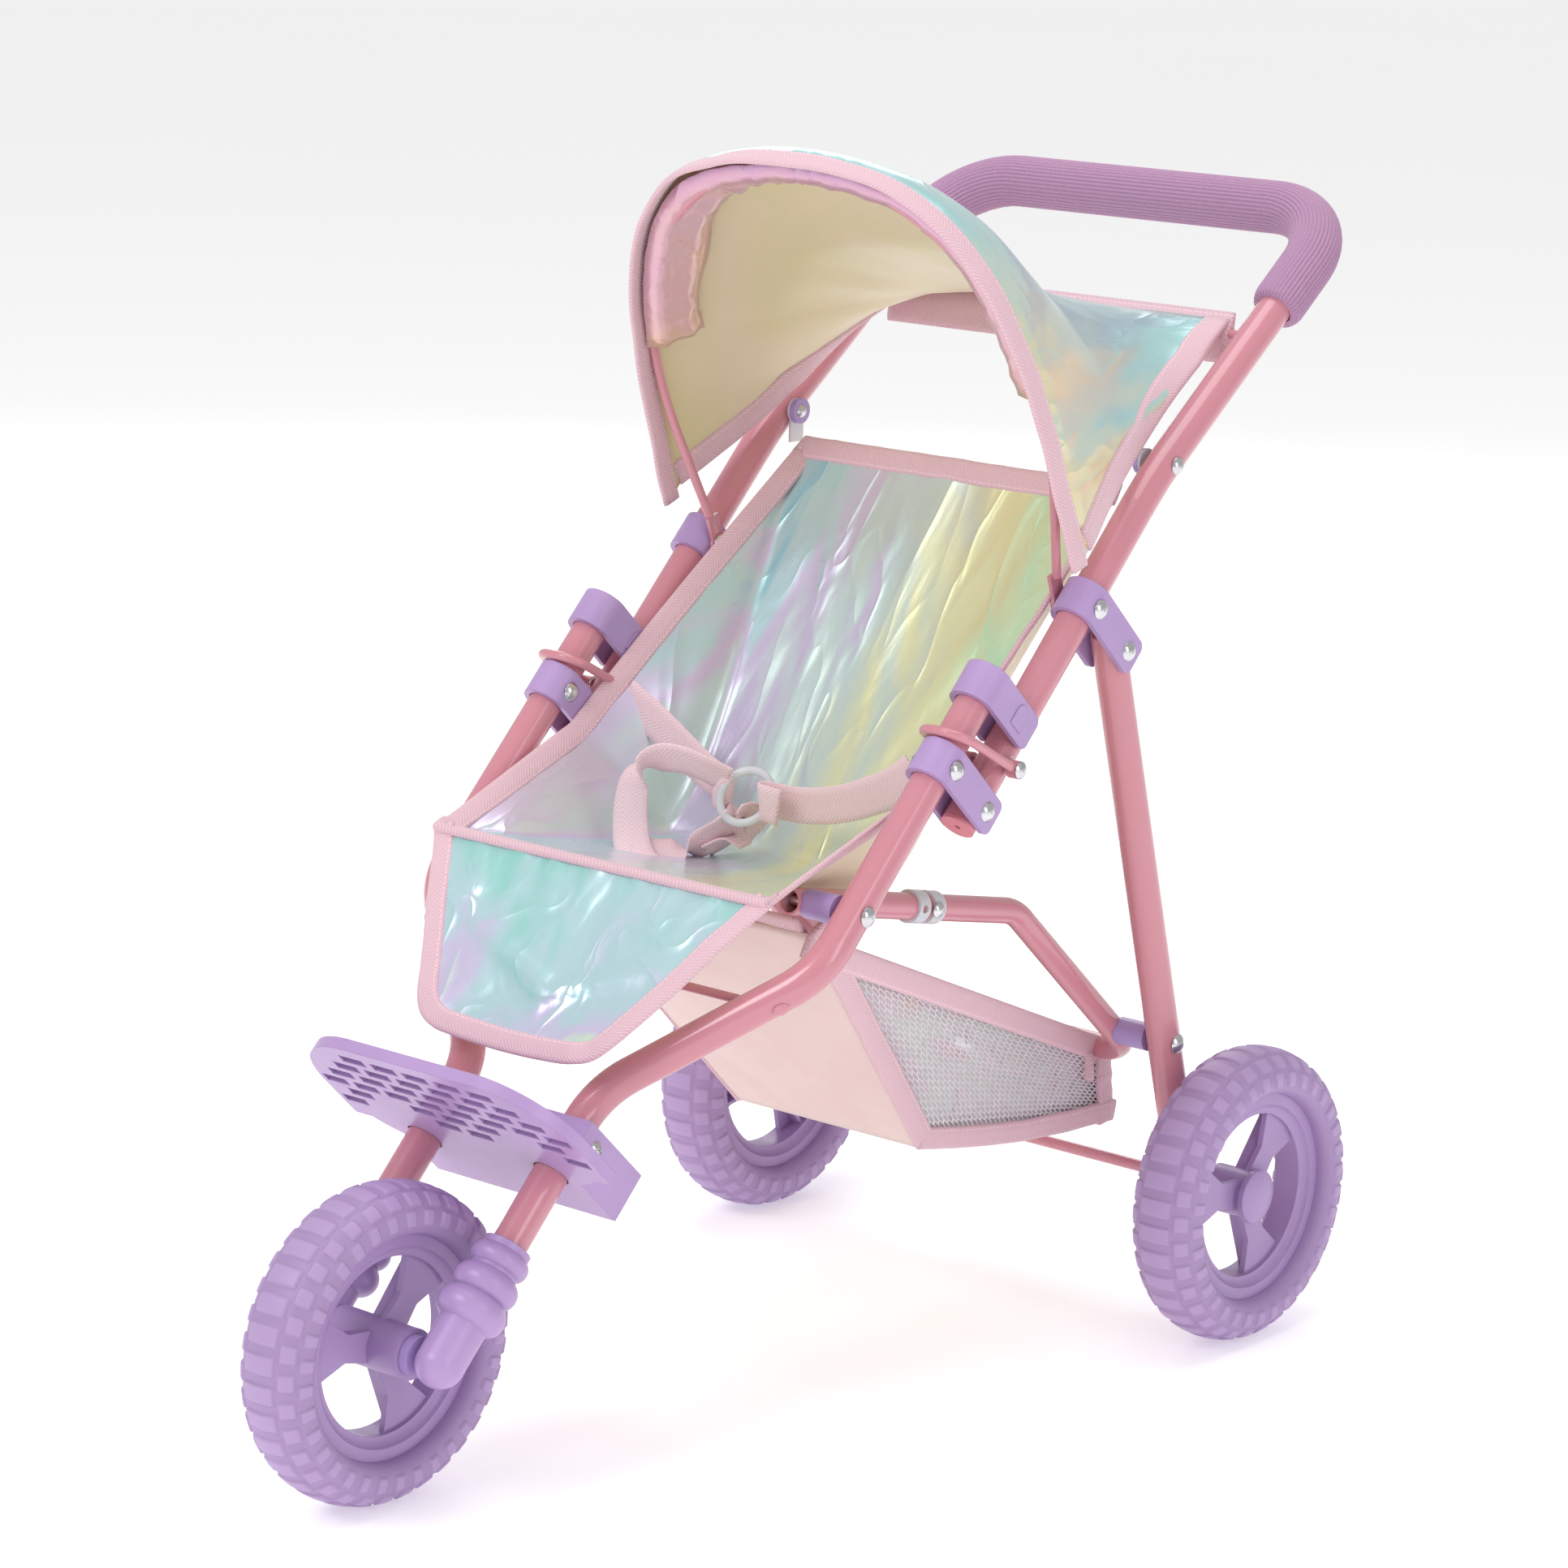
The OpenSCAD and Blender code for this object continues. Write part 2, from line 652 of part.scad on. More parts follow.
rear_wheel_x = track / 2;
module rear_leg(m) {
    top = along(leg_pivot, rear_axle_at, -8);
    foot = along(leg_pivot, rear_axle_at, norm(rear_axle_at - leg_pivot) + 9);
    color("#e8969c") difference() {
        tube([at_x(m * side_x, top), at_x(m * side_x, foot)], [], tube_r);
        at(leg_pivot) bar_x(rivet_d + 2 * RUN, frame_w + 40);
        at(link_rear) bar_x(rivet_d, frame_w + 40);
        at(rear_axle_at) bar_x(axle_d, frame_w + 40);
    }
}
module rear_leg_right() { rear_leg(1); }
module rear_leg_left() { rear_leg(-1); }

hub_in = 14;
hub_out = 8;
module rear_axle() {
    color("#e08a94") at(rear_axle_at) bar_x(axle_d, track + 2 * hub_out + 1);
}
module rear_hub_spacers() {
    near = side_x + tube_r;
    far = rear_wheel_x - hub_in - GAP / 2;
    color("#c39ae0") both_sides() at(rear_axle_at, (near + far) / 2) difference() {
        bar_x(hub_d - 6, far - near);
        bar_x(axle_d, 40);
    }
}
// The rear pivot's rivet holds to the leg only, so that the link's spacer can part from it
module link_rear_rivets() {
    color("silver") both_sides() at(link_rear, side_x) {
        bar_x(rivet_d, tube_d);
        translate([tube_r, 0, 0]) rotate([0, 90, 0]) dome(rivet_head_d, 2.6);
    }
}

module rear_wheel(m) { at(rear_axle_at, m * rear_wheel_x) rotate([0, m * 90, 0]) children(); }
module rear_rim_right() { color("#c9a6e6") rear_wheel(1) rim(hub_out, hub_in); }
module rear_rim_left() { color("#c9a6e6") rear_wheel(-1) rim(hub_out, hub_in); }
module rear_tyre_right() { color("#b493d3") rear_wheel(1) tyre(); }
module rear_tyre_left() { color("#b493d3") rear_wheel(-1) tyre(); }
// A round cap pressed over the outer end of the hub
module rear_cap() {
    color("#c9a6e6") difference() {
        union() {
            translate([0, 0, hub_out]) cylinder(d = cap_d, h = 3);
            translate([0, 0, hub_out + 3]) dome(cap_d, 2.5);
        }
        cylinder(r = axle_r + RUN, h = hub_out + 1.5);
    }
}
module rear_cap_right() { rear_wheel(1) rear_cap(); }
module rear_cap_left() { rear_wheel(-1) rear_cap(); }

// ---------- folding link ----------

function link_points() = let(a = at_x(link_x, along(link_pivot, link_bend, -8)),
    b = at_x(link_x, link_bend), c = at_x(link_x, link_cross))
    [a, b, c, [-c[0], c[1], c[2]], [-b[0], b[1], b[2]], [-a[0], a[1], a[2]]];

module link_tube() {
    color("#e8969c") difference() {
        tube(link_points(), [30, 22, 22, 30], link_r);
        at(link_pivot) bar_x(rivet_d + 2 * RUN, frame_w + 40);
        at(clip_at) bar_x(rivet_d - 1, frame_w + 40);
    }
}
spacer_reach = side_x - tube_r - link_x - link_r;
// Plastic spacers that keep the link tube off the front tubes and the rear legs
module link_spacers() {
    near = link_x + sqrt(link_r * link_r - 16);
    for (p = [link_pivot, link_rear]) {
        far = side_x - tube_r - GAP / 2;
        color("#b98ad8") both_sides() at(p, (near + far) / 2) difference() {
            bar_x(14, far - near);
            at([0, 0]) bar_x(p == link_pivot ? rivet_d + 2 * RUN : 0.5 * rivet_d, 60);
            translate([link_x - (near + far) / 2, 0, 0]) side_cut(p);
        }
    }
}
// Clears the link tube out of a spacer's inner end
module side_cut(p) {
    d = p == link_pivot ? link_bend - link_pivot : link_cross - link_bend;
    rotate([atan2(d[1], d[0]), 0, 0]) rotate([90, 0, 0]) cylinder(r = link_r, h = 60, center = true);
}
// White clips round the link tube that hold the back of the seat
module link_clips() {
    slope = atan2(link_bend[1] - link_pivot[1], link_bend[0] - link_pivot[0]);
    color("white") both_sides() at(clip_at, link_x) rotate([slope, 0, 0]) for (y = [-10, 2])
        translate([0, y, 0]) difference() {
            rotate([90, 0, 0]) cylinder(r = link_r + 1.6, h = 8, center = true);
            rotate([90, 0, 0]) cylinder(r = link_r, h = 10, center = true);
            bar_x(rivet_d - 1, 30);
        }
}
module link_clip_rivets() {
    color("silver") both_sides() at(clip_at, link_x) {
        bar_x(rivet_d - 1, link_d + 3.2);
        translate([link_r + 1.6, 0, 0]) rotate([0, 90, 0]) dome(8, 2.2);
    }
}

// ---------- soft goods ----------

function mirrored(p) = [-p[0], p[1], p[2]];

// The canopy cloth between the bow and the rear rod, with its two flat sides
canopy_steps = 16;
canopy_off = wire_d / 2 + GAP + cloth + 2;
canopy_low = 28;
// Front edge: straight up from its lower corner, then a half circle round the bow
function front_edge(k) = let(r = bow_half + canopy_off, c = bow_h - bow_half,
    u = k < 3 ? [1, mix(canopy_low, c, k / 3)] : k > canopy_steps - 3
        ? [-1, mix(canopy_low, c, (canopy_steps - k) / 3)]
        : let(a = 180 * (k - 3) / (canopy_steps - 6)) [cos(a), c + r * sin(a)])
    [r * u[0], handle_pin[0] + u[1] * cos(bow_angle), handle_pin[1] + u[1] * sin(bow_angle)];
// Rear edge: nearly flat, just above the rear rod
function rear_edge(k) = let(a = 180 * k / canopy_steps)
    [(side_x - tube_r - 6) * cos(a), rear_rod_at[0], rear_rod_at[1] + cloth + wire_d / 2 + 1 + 8 * sin(a)];
// The cloth draws in quickly behind the bow, so that it passes between the handle tubes
function arch(k, t) = let(p = front_edge(k), q = rear_edge(k), u = 1 - pow(1 - t, 1.7))
    [mix(p[0], q[0], u), mix(p[1], q[1], t),
     mix(p[2], q[2], t) + 16 * sin(180 * t) * sin(180 * k / canopy_steps)];
module canopy() {
    rows = 6;
    n = canopy_steps + 1;
    outer = [for (j = [0:rows], k = [0:canopy_steps]) arch(k, j / rows)];
    middle = [0, mix(handle_pin[0], rear_rod_at[0], 0.3), handle_pin[1]];
    inner = [for (p = outer) p + unit(middle - p) * cloth];
    half = len(outer);
    function id(j, k) = j * n + k;
    faces = concat(
        [for (j = [0:rows - 1], k = [0:n - 2]) [id(j, k), id(j, k + 1), id(j + 1, k + 1)]],
        [for (j = [0:rows - 1], k = [0:n - 2]) [id(j, k), id(j + 1, k + 1), id(j + 1, k)]],
        [for (j = [0:rows - 1], k = [0:n - 2]) [half + id(j + 1, k + 1), half + id(j, k + 1), half + id(j, k)]],
        [for (j = [0:rows - 1], k = [0:n - 2]) [half + id(j + 1, k), half + id(j + 1, k + 1), half + id(j, k)]],
        [for (k = [0:n - 2]) [id(0, k + 1), id(0, k), half + id(0, k)]],
        [for (k = [0:n - 2]) [id(0, k + 1), half + id(0, k), half + id(0, k + 1)]],
        [for (k = [0:n - 2]) [id(rows, k), id(rows, k + 1), half + id(rows, k)]],
        [for (k = [0:n - 2]) [half + id(rows, k), id(rows, k + 1), half + id(rows, k + 1)]],
        [for (j = [0:rows - 1]) [id(j, 0), id(j + 1, 0), half + id(j, 0)]],
        [for (j = [0:rows - 1]) [half + id(j, 0), id(j + 1, 0), half + id(j + 1, 0)]],
        [for (j = [0:rows - 1]) [id(j + 1, n - 1), id(j, n - 1), half + id(j, n - 1)]],
        [for (j = [0:rows - 1]) [id(j + 1, n - 1), half + id(j, n - 1), half + id(j + 1, n - 1)]]);
    color("#b9e3df") polyhedron(points = concat(outer, inner), faces = faces);
}

// The seat hammock: base, back and two side gussets
module seat() {
    lip = at_x(seat_half, seat_lip);
    mid = at_x(seat_half, seat_mid);
    top = at_x(seat_half - 3, seat_top);
    crease = at_x(seat_bottom_half, seat_crease);
    front = at_x(seat_bottom_half, seat_lip + [28, -2]);
    color("#bfe0e6") {
        sheet([lip, mirrored(lip), front, mirrored(front)]);
        sheet([front, mirrored(front), crease, mirrored(crease)]);
        sheet([crease, mirrored(crease), top, mirrored(top)]);
        both_sides() {
            sheet([lip, mid, front]);
            sheet([front, mid, crease]);
            sheet([crease, mid, top]);
        }
    }
}

module calf_panel() {
    top = at_x(seat_half + 3, seat_lip + [-4, -3]);
    foot = at_x(fork_x + 19, calf_foot);
    color("#b7e5d6") sheet([top, mirrored(top), foot, mirrored(foot)]);
}

// The basket hangs between the front link pivots and the link's cross bar
module basket() {
    front = at_x(link_x - link_r - 4, link_pivot + [6, -10]);
    back = at_x(link_x - 24, link_cross + [-16, 2]);
    front_low = at_x(58, link_pivot + [128, -basket_depth - 12]);
    back_low = at_x(62, link_cross + [-16, -34]);
    color("#f0cfc8") {
        sheet([front, mirrored(front), front_low, mirrored(front_low)]);
        sheet([back, mirrored(back), back_low, mirrored(back_low)]);
        sheet([front_low, mirrored(front_low), back_low, mirrored(back_low)]);
        both_sides() sheet([front, front_low, back_low, back]);
    }
}

// Two webbing straps from the seat's edges to the ring, and one from the seat base
ring_at = seat_lip + [106, 16];
strap_end = 14;
module waist_straps() {
    color("#f2b8c6") both_sides() hull() {
        at(seat_mid + [0, 2], seat_half - 6) cube([2, 8, 20], center = true);
        at(ring_at, strap_end) cube([1, 6, 12], center = true);
    }
}
module crotch_strap() {
    color("#f2b8c6") hull() {
        at(seat_lip + [26, 4]) cube([24, 6, 2], center = true);
        at(ring_at + [3, -strap_end]) cube([20, 4, 1.4], center = true);
    }
}
module harness_ring() {
    color("white") at(ring_at) rotate([75, 0, 0]) difference() {
        cylinder(d = 2 * strap_end - 2, h = 3, center = true);
        cylinder(d = 2 * strap_end - 10, h = 5, center = true);
    }
}

front_tube_right();
front_tube_left();
lower_bracket_right();
lower_bracket_left();
upper_hood_right();
upper_hood_left();
lower_bracket_rivets();
fold_pivot_rivets();
link_front_rivets();
front_cross_rod();
footrest();
footrest_screws();
fork_end_right();
fork_end_left();
front_axle();
front_hub_spacers();
front_rim();
front_tyre();
handle_tube();
handle_grip();
handle_end_plugs();
leg_bracket_right();
leg_bracket_left();
leg_bracket_rivets();
leg_pivot_rivets();
canopy_rear_rod();
seat_hanger_tabs();
hanger_washers();
hanger_screws();
ring_pivot_rivets();
lock_ring_right();
lock_ring_left();
canopy_bow();
rear_leg_right();
rear_leg_left();
rear_axle();
rear_hub_spacers();
link_rear_rivets();
rear_rim_right();
rear_rim_left();
rear_tyre_right();
rear_tyre_left();
rear_cap_right();
rear_cap_left();
link_tube();
link_spacers();
link_clips();
link_clip_rivets();
canopy();
seat();
calf_panel();
basket();
waist_straps();
crotch_strap();
harness_ring();
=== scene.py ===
import bpy, bmesh, json, math
import numpy as np
from mathutils import Vector, Matrix, noise


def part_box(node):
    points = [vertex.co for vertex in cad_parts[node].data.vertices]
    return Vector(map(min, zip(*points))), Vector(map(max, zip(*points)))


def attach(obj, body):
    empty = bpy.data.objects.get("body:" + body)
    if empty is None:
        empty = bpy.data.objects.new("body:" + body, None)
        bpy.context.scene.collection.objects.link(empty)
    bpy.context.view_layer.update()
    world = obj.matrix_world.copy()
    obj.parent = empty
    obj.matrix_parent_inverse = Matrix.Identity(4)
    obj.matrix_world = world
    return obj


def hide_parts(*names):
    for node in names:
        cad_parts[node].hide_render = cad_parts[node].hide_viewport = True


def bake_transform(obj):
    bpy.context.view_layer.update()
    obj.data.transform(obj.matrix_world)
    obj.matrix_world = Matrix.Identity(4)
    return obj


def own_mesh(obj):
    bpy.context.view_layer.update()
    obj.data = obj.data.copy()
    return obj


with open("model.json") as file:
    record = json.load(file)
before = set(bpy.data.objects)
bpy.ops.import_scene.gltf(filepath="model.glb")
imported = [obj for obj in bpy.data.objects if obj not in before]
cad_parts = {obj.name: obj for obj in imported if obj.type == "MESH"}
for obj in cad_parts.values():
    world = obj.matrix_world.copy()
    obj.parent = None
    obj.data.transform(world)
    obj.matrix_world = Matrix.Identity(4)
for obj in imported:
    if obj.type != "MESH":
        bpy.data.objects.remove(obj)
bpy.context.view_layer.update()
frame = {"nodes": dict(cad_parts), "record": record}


# Points are written in millimetres, with Y counted from the rear axle, as the frame was drawn
REAR_Y = sum(c[1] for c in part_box("rear_axle")) / 2
def V(x, y, z):
    return Vector((x / 1000, REAR_Y + y / 1000, z / 1000))


def mix(a, b, t):
    return a + (b - a) * t


def smooth(a, b, t):
    t = min(1.0, max(0.0, (t - a) / (b - a)))
    return t * t * (3 - 2 * t)


def polyline(knots, n, rounded=True):
    """n points evenly along the knots, with their corners eased where rounded."""
    k = [Vector(p) for p in knots]
    for _ in range(3 if rounded else 0):
        out = [k[0]]
        for a, b in zip(k, k[1:]):
            out += [a.lerp(b, .25), a.lerp(b, .75)]
        k = out + [k[-1]]
    d = np.cumsum([0] + [(b - a).length for a, b in zip(k, k[1:])])
    out = []
    for s in np.linspace(0, d[-1], n):
        i = min(int(np.searchsorted(d, s, side="right")) - 1, len(k) - 2)
        out.append(k[i].lerp(k[i + 1], (s - d[i]) / max(d[i + 1] - d[i], 1e-9)))
    return out

# ---------------------------------------------------------------- materials

class Mat:
    def __init__(self, name, **values):
        self.m = bpy.data.materials.new(name)
        self.m.use_nodes = True
        self.t = self.m.node_tree
        self.b = self.t.nodes["Principled BSDF"]
        for k, v in values.items():
            self.b.inputs[k.replace("_", " ")].default_value = v

    def n(self, kind, inputs=None, **attrs):
        node = self.t.nodes.new("ShaderNode" + kind)
        for k, v in attrs.items():
            setattr(node, k, v)
        for k, v in (inputs or {}).items():
            if isinstance(v, bpy.types.NodeSocket):
                self.t.links.new(v, node.inputs[k])
            else:
                node.inputs[k].default_value = v
        return node

    def math(self, op, a, b=0.0, c=0.0):
        node = self.n("Math", operation=op)
        for i, v in enumerate((a, b, c)):
            if isinstance(v, bpy.types.NodeSocket):
                self.t.links.new(v, node.inputs[i])
            else:
                node.inputs[i].default_value = v
        return node.outputs[0]

    def obj(self, scale=(1, 1, 1)):
        c = self.n("TexCoord").outputs["Object"]
        return c if scale == (1, 1, 1) else self.n("Mapping", {"Vector": c, "Scale": scale}).outputs[0]

    def noise(self, scale, detail=3.0, rough=.5, vector=None, distort=0.0):
        return self.n("TexNoise", {"Vector": vector or self.obj(), "Scale": scale, "Detail": detail,
                                   "Roughness": rough, "Distortion": distort}).outputs[0]

    def ramp(self, fac, stops, interpolation="LINEAR"):
        node = self.n("ValToRGB", {"Fac": fac})
        r = node.color_ramp
        r.interpolation = interpolation
        while len(r.elements) < len(stops):
            r.elements.new(0.5)
        for e, (p, c) in zip(r.elements, stops):
            e.position = p
            e.color = (*c, 1) if len(c) == 3 else c
        return node.outputs[0]

    def blend(self, fac, a, b, mode="MIX"):
        node = self.n("Mix", data_type="RGBA", blend_type=mode)
        for i, v in zip((0, 6, 7), (fac, a, b)):
            if isinstance(v, bpy.types.NodeSocket):
                self.t.links.new(v, node.inputs[i])
            else:
                node.inputs[i].default_value = v if i == 0 else (*v[:3], 1)
        return node.outputs[2]

    def bump(self, height, strength, distance, normal=None):
        d = {"Height": height, "Strength": strength, "Distance": distance}
        if normal is not None:
            d["Normal"] = normal
        return self.n("Bump", d).outputs[0]
    def bevel(self, radius):
        return self.n("Bevel", {"Radius": radius}, samples=4).outputs[0]
    def put(self, name, socket):
        self.t.links.new(socket, self.b.inputs[name])
        return self


def shades(m, color, amount=.05, scale=30.0):
    """A little unevenness in a moulded or painted colour."""
    dark = tuple(c * (1 - 2.2 * amount) for c in color)
    light = tuple(min(1, c * (1 + amount)) for c in color)
    return m.ramp(m.noise(scale, 4.0), [(.3, dark), (.7, light)])


def paint():
    m = Mat("pink_paint", Roughness=.28, Coat_Weight=.5, Coat_Roughness=.08)
    m.put("Base Color", shades(m, (.605, .238, .290), .010, 9))
    m.put("Roughness", m.math("MULTIPLY_ADD", m.noise(900.0), .04, .22))
    return m.put("Normal", m.bump(m.noise(1600.0, 1.0), .02, .0001, m.bevel(.0004))).m


def plastic(name, color, rough=.32):
    m = Mat(name, Roughness=rough, Subsurface_Weight=.08, Subsurface_Scale=.004)
    m.put("Base Color", shades(m, color, .03, 22))
    m.put("Roughness", m.math("MULTIPLY_ADD", m.noise(160.0), .12, rough - .05))
    return m.put("Normal", m.bump(m.noise(1400.0, 2.0), .10, .0002, m.bevel(.0007))).m


def tyre_foam():
    m = Mat("tyre_foam", Roughness=.5)
    grain = m.noise(700.0, 5.0, .6)
    lug = m.n("Attribute", attribute_name="lug").outputs["Fac"]
    base = m.blend(m.math("MULTIPLY", grain, .35), (.385, .262, .480), (.315, .205, .410))
    # painted light and shade: the raised tread blocks are coloured lighter than the grooves between them
    m.put("Base Color", m.blend(lug, base, (.430, .298, .535)))
    m.put("Roughness", m.math("MULTIPLY_ADD", grain, .18, .40))
    return m.put("Normal", m.bump(grain, .12, .0003)).m


def foam_grip():
    m = Mat("grip_foam", Roughness=.7, Sheen_Weight=.25, Sheen_Roughness=.4)
    pore = m.noise(1500.0, 4.0, .7)
    m.put("Base Color", m.ramp(pore, [(.3, (.375, .195, .330)), (.62, (.475, .265, .430))]))
    return m.put("Normal", m.bump(pore, .25, .0003)).m


def steel():
    m = Mat("rivet_steel", Metallic=1.0, Roughness=.2)
    m.put("Base Color", shades(m, (.66, .66, .68), .06, 90))
    m.put("Roughness", m.math("MULTIPLY_ADD", m.noise(350.0, 3.0), .22, .10))
    return m.put("Normal", m.bump(m.noise(300.0), .05, .0003, m.bevel(.0003))).m


def clear_plastic():
    m = Mat("hanger_plastic", Roughness=.35, Transmission_Weight=.25, IOR=1.45, Subsurface_Weight=.15)
    m.put("Base Color", shades(m, (.84, .83, .86), .03, 60))
    return m.put("Normal", m.bump(m.noise(400.0), .06, .0003, m.bevel(.0004))).m


def sew(m):
    """The tape's own coordinates: along and across, in metres."""
    s = m.n("SeparateXYZ", {"Vector": m.n("Attribute", attribute_name="sew").outputs["Vector"]})
    return s.outputs[0], s.outputs[1], s.outputs[2]


def webbing(name, color, pitch=.0021, chevron=.0048, stitch=True):
    m = Mat(name, Roughness=.75, Sheen_Weight=.35, Sheen_Roughness=.45)
    u, v, w = sew(m)
    zig = m.math("PINGPONG", v, chevron)
    wave = m.math("SINE", m.math("MULTIPLY", m.math("ADD", u, zig), 2 * math.pi / pitch))
    rib = m.math("MULTIPLY_ADD", wave, .5, .5)
    tone = m.blend(m.math("MULTIPLY", m.noise(40.0, 3.0), .35), color, tuple(c * .86 for c in color))
    # painted shade: the colour darkens in the troughs between the ribs, the grooves of the weave
    col = m.blend(m.math("MULTIPLY", m.math("SUBTRACT", 1.0, rib), .46), tone,
                  tuple(c * .66 for c in color))
    height = rib
    if stitch:
        near = m.math("LESS_THAN", m.math("ABSOLUTE", m.math("SUBTRACT", w, .0016)), .00035)
        on = m.math("LESS_THAN", m.math("FRACT", m.math("DIVIDE", u, .0031)), .72)
        dash = m.math("MULTIPLY", near, on)
        col = m.blend(dash, col, tuple(min(1, c * 1.12) for c in color))
        height = m.math("ADD", rib, m.math("MULTIPLY", dash, 1.6))
    m.put("Base Color", col)
    return m.put("Normal", m.bump(height, .55, .00025)).m

# Colour ramps of the pearly cloths: the iridescent material picks from them by the surface's direction, a
# painted reflection, and by place
HUES = {
    "seat": [(0, (.25, .57, .80)), (.16, (.32, .68, .78)), (.29, (.52, .72, .76)), (.36, (.68, .60, .80)),
             (.43, (.62, .76, .74)), (.60, (.84, .84, .50)), (.78, (.46, .80, .54)), (1, (.82, .82, .48))],
    "calf": [(0, (.34, .68, .70)), (.2, (.36, .74, .68)), (.38, (.52, .74, .78)), (.5, (.68, .62, .84)),
             (.57, (.68, .82, .70)), (.8, (.54, .80, .54)), (1, (.40, .72, .74))],
    "canopy": [(0, (.40, .66, .68)), (.2, (.44, .70, .70)), (.36, (.62, .74, .64)), (.5, (.80, .74, .48)),
               (.64, (.82, .64, .40)), (.78, (.80, .68, .72)), (.92, (.72, .76, .58)), (1,
                                                                                        (.50, .70, .68))],
    "film": [(0, (.88, .76, .80)), (.25, (.92, .84, .62)), (.45, (.92, .70, .56)), (.65, (.88, .72, .80)),
             (.85, (.84, .86, .84)), (1, (.90, .80, .88))],
    "casing": [(0, (.74, .42, .27)), (.3, (.72, .46, .34)), (.55, (.70, .42, .46)), (.75, (.66, .36, .50)),
               (1, (.58, .34, .56))],
}


def iridescent(name, hues, axis, gain=1.0, gradient=(0, 0, 0), offset=0.0, rough=.27, metal=.42, folds=.5,
               fold_scale=(1, 1, 1), drift=.5):
    """Pearly coated satin: the hue turns with the surface's own direction, a painted iridescent reflection,
    and drifts over the cloth.
    """
    m = Mat(name, Metallic=metal, Roughness=rough, Coat_Weight=.35, Coat_Roughness=.18,
            Sheen_Weight=.2, Sheen_Roughness=.3)
    stretched = m.obj(fold_scale)
    big = m.noise(16.0, 2.0, .45, stretched, .8)
    crease = m.math("POWER", m.math("SUBTRACT", 1.0, m.math("ABSOLUTE",
        m.math("MULTIPLY_ADD", m.noise(22.0, 2.0, .4, stretched, 1.0), 4.0, -2.0))), 3.0)
    fine = m.noise(60.0, 3.0, .5, stretched, .6)
    height = m.math("ADD", m.math("MULTIPLY", crease, .22), m.math("ADD", big,
                                                                   m.math("MULTIPLY", fine, .10)))
    cloth = m.bump(height, folds, .005)
    weave = m.bump(m.noise(2600.0, 1.0), .06, .0001, cloth)
    # painted reflection: the hue follows the bumped surface's direction against a fixed axis, standing in
    # for the pearly sheen the lights would give
    sheen_turn = m.n("VectorMath", {0: cloth, 1: tuple(Vector(axis).normalized())},
               operation="DOT_PRODUCT").outputs["Value"]
    place = m.n("VectorMath", {0: m.obj(), 1: gradient}, operation="DOT_PRODUCT").outputs["Value"]
    hue = m.math("ADD", m.math("MULTIPLY_ADD", sheen_turn, .55 * gain, offset), place)
    hue = m.math("ADD", hue, m.math("MULTIPLY_ADD", m.noise(13.0, 2.0, .5, stretched, 1.2), drift,
                                    -drift / 2))
    m.put("Base Color", m.ramp(m.math("PINGPONG", hue, 1.0), hues, "EASE"))
    m.put("Roughness", m.math("MULTIPLY_ADD", fine, .16, rough - .08))
    return m.put("Normal", weave).m


def lining(name, a, b):
    m = Mat(name, Roughness=.5, Metallic=.08, Sheen_Weight=.2, Subsurface_Weight=.1, Subsurface_Scale=.01)
    m.put("Base Color", m.ramp(m.noise(11.0, 3.0, .5, None, .6), [(.3, a), (.68, b)]))
    m.put("Roughness", m.math("MULTIPLY_ADD", m.noise(50.0, 3.0), .2, .38))
    return m.put("Normal", m.bump(m.noise(26.0, 3.0, .45, None, .8), .3, .004)).m

PINK_TAPE = (.80, .530, .600)
mats = {
    "pink_paint": paint(),
    "lilac_plastic": plastic("lilac_plastic", (.455, .305, .580)),
    "lilac_wheel": plastic("lilac_wheel", (.395, .265, .510), .34),
    "lilac_tyre": tyre_foam(),
    "mauve_foam": foam_grip(),
    "steel": steel(),
    "pink_plastic": plastic("plug_plastic", (.74, .27, .33), .4),
    "purple_plastic": plastic("purple_plastic", (.42, .30, .60), .3),
    "white_plastic": clear_plastic(),
    "iridescent_cloth": iridescent("pearl_seat", HUES["seat"], (.8, -.35, .5), .55, (3.0, 0, 0), .33, .25,
                                   .42, .42, (1.5, .42, .42), .42),
    "aqua_cloth": iridescent("pearl_calf", HUES["calf"], (.5, -.6, .5), .7, (.5, 0, -3.0), .80, .24, .42,
                             .5, (1.2, .9, .9), .55),
    "basket_cloth": lining("basket_cloth", (.74, .54, .52), (.80, .62, .58)),
    "pink_webbing": webbing("pink_webbing", (.92, .67, .72), .0022, .0050, False),
}
tape_mat = webbing("pink_tape", PINK_TAPE)
canopy_out = iridescent("pearl_canopy", HUES["canopy"], (.1, 0, 1.0), -.95, (0, 0, 0), .62, .25, .42, .5,
                        (1, .5, 1), .42)
canopy_in = lining("canopy_lining", (.66, .61, .36), (.72, .62, .46))
casing_mat = iridescent("pearl_casing", HUES["casing"], (.2, -.7, .5), .4, (0, 0, 4.6), -1.95, .28, .3, .4)
seat_back = lining("seat_back", (.70, .64, .44), (.78, .70, .52))
clear_film = iridescent("pearl_film", HUES["film"], (.3, .3, .5), .9, (0, 2.6, 1), .30, .22, .05, .9,
                        (1, 1, 1), .7)

for node in frame["record"]["subparts"]:
    o = frame["nodes"][node["node"]]
    o.data.materials.clear()
    o.data.materials.append(mats[node["material_slot"]])
    for p in o.data.polygons:
        p.material_index = 0

# ---------------------------------------------------------------- mesh making

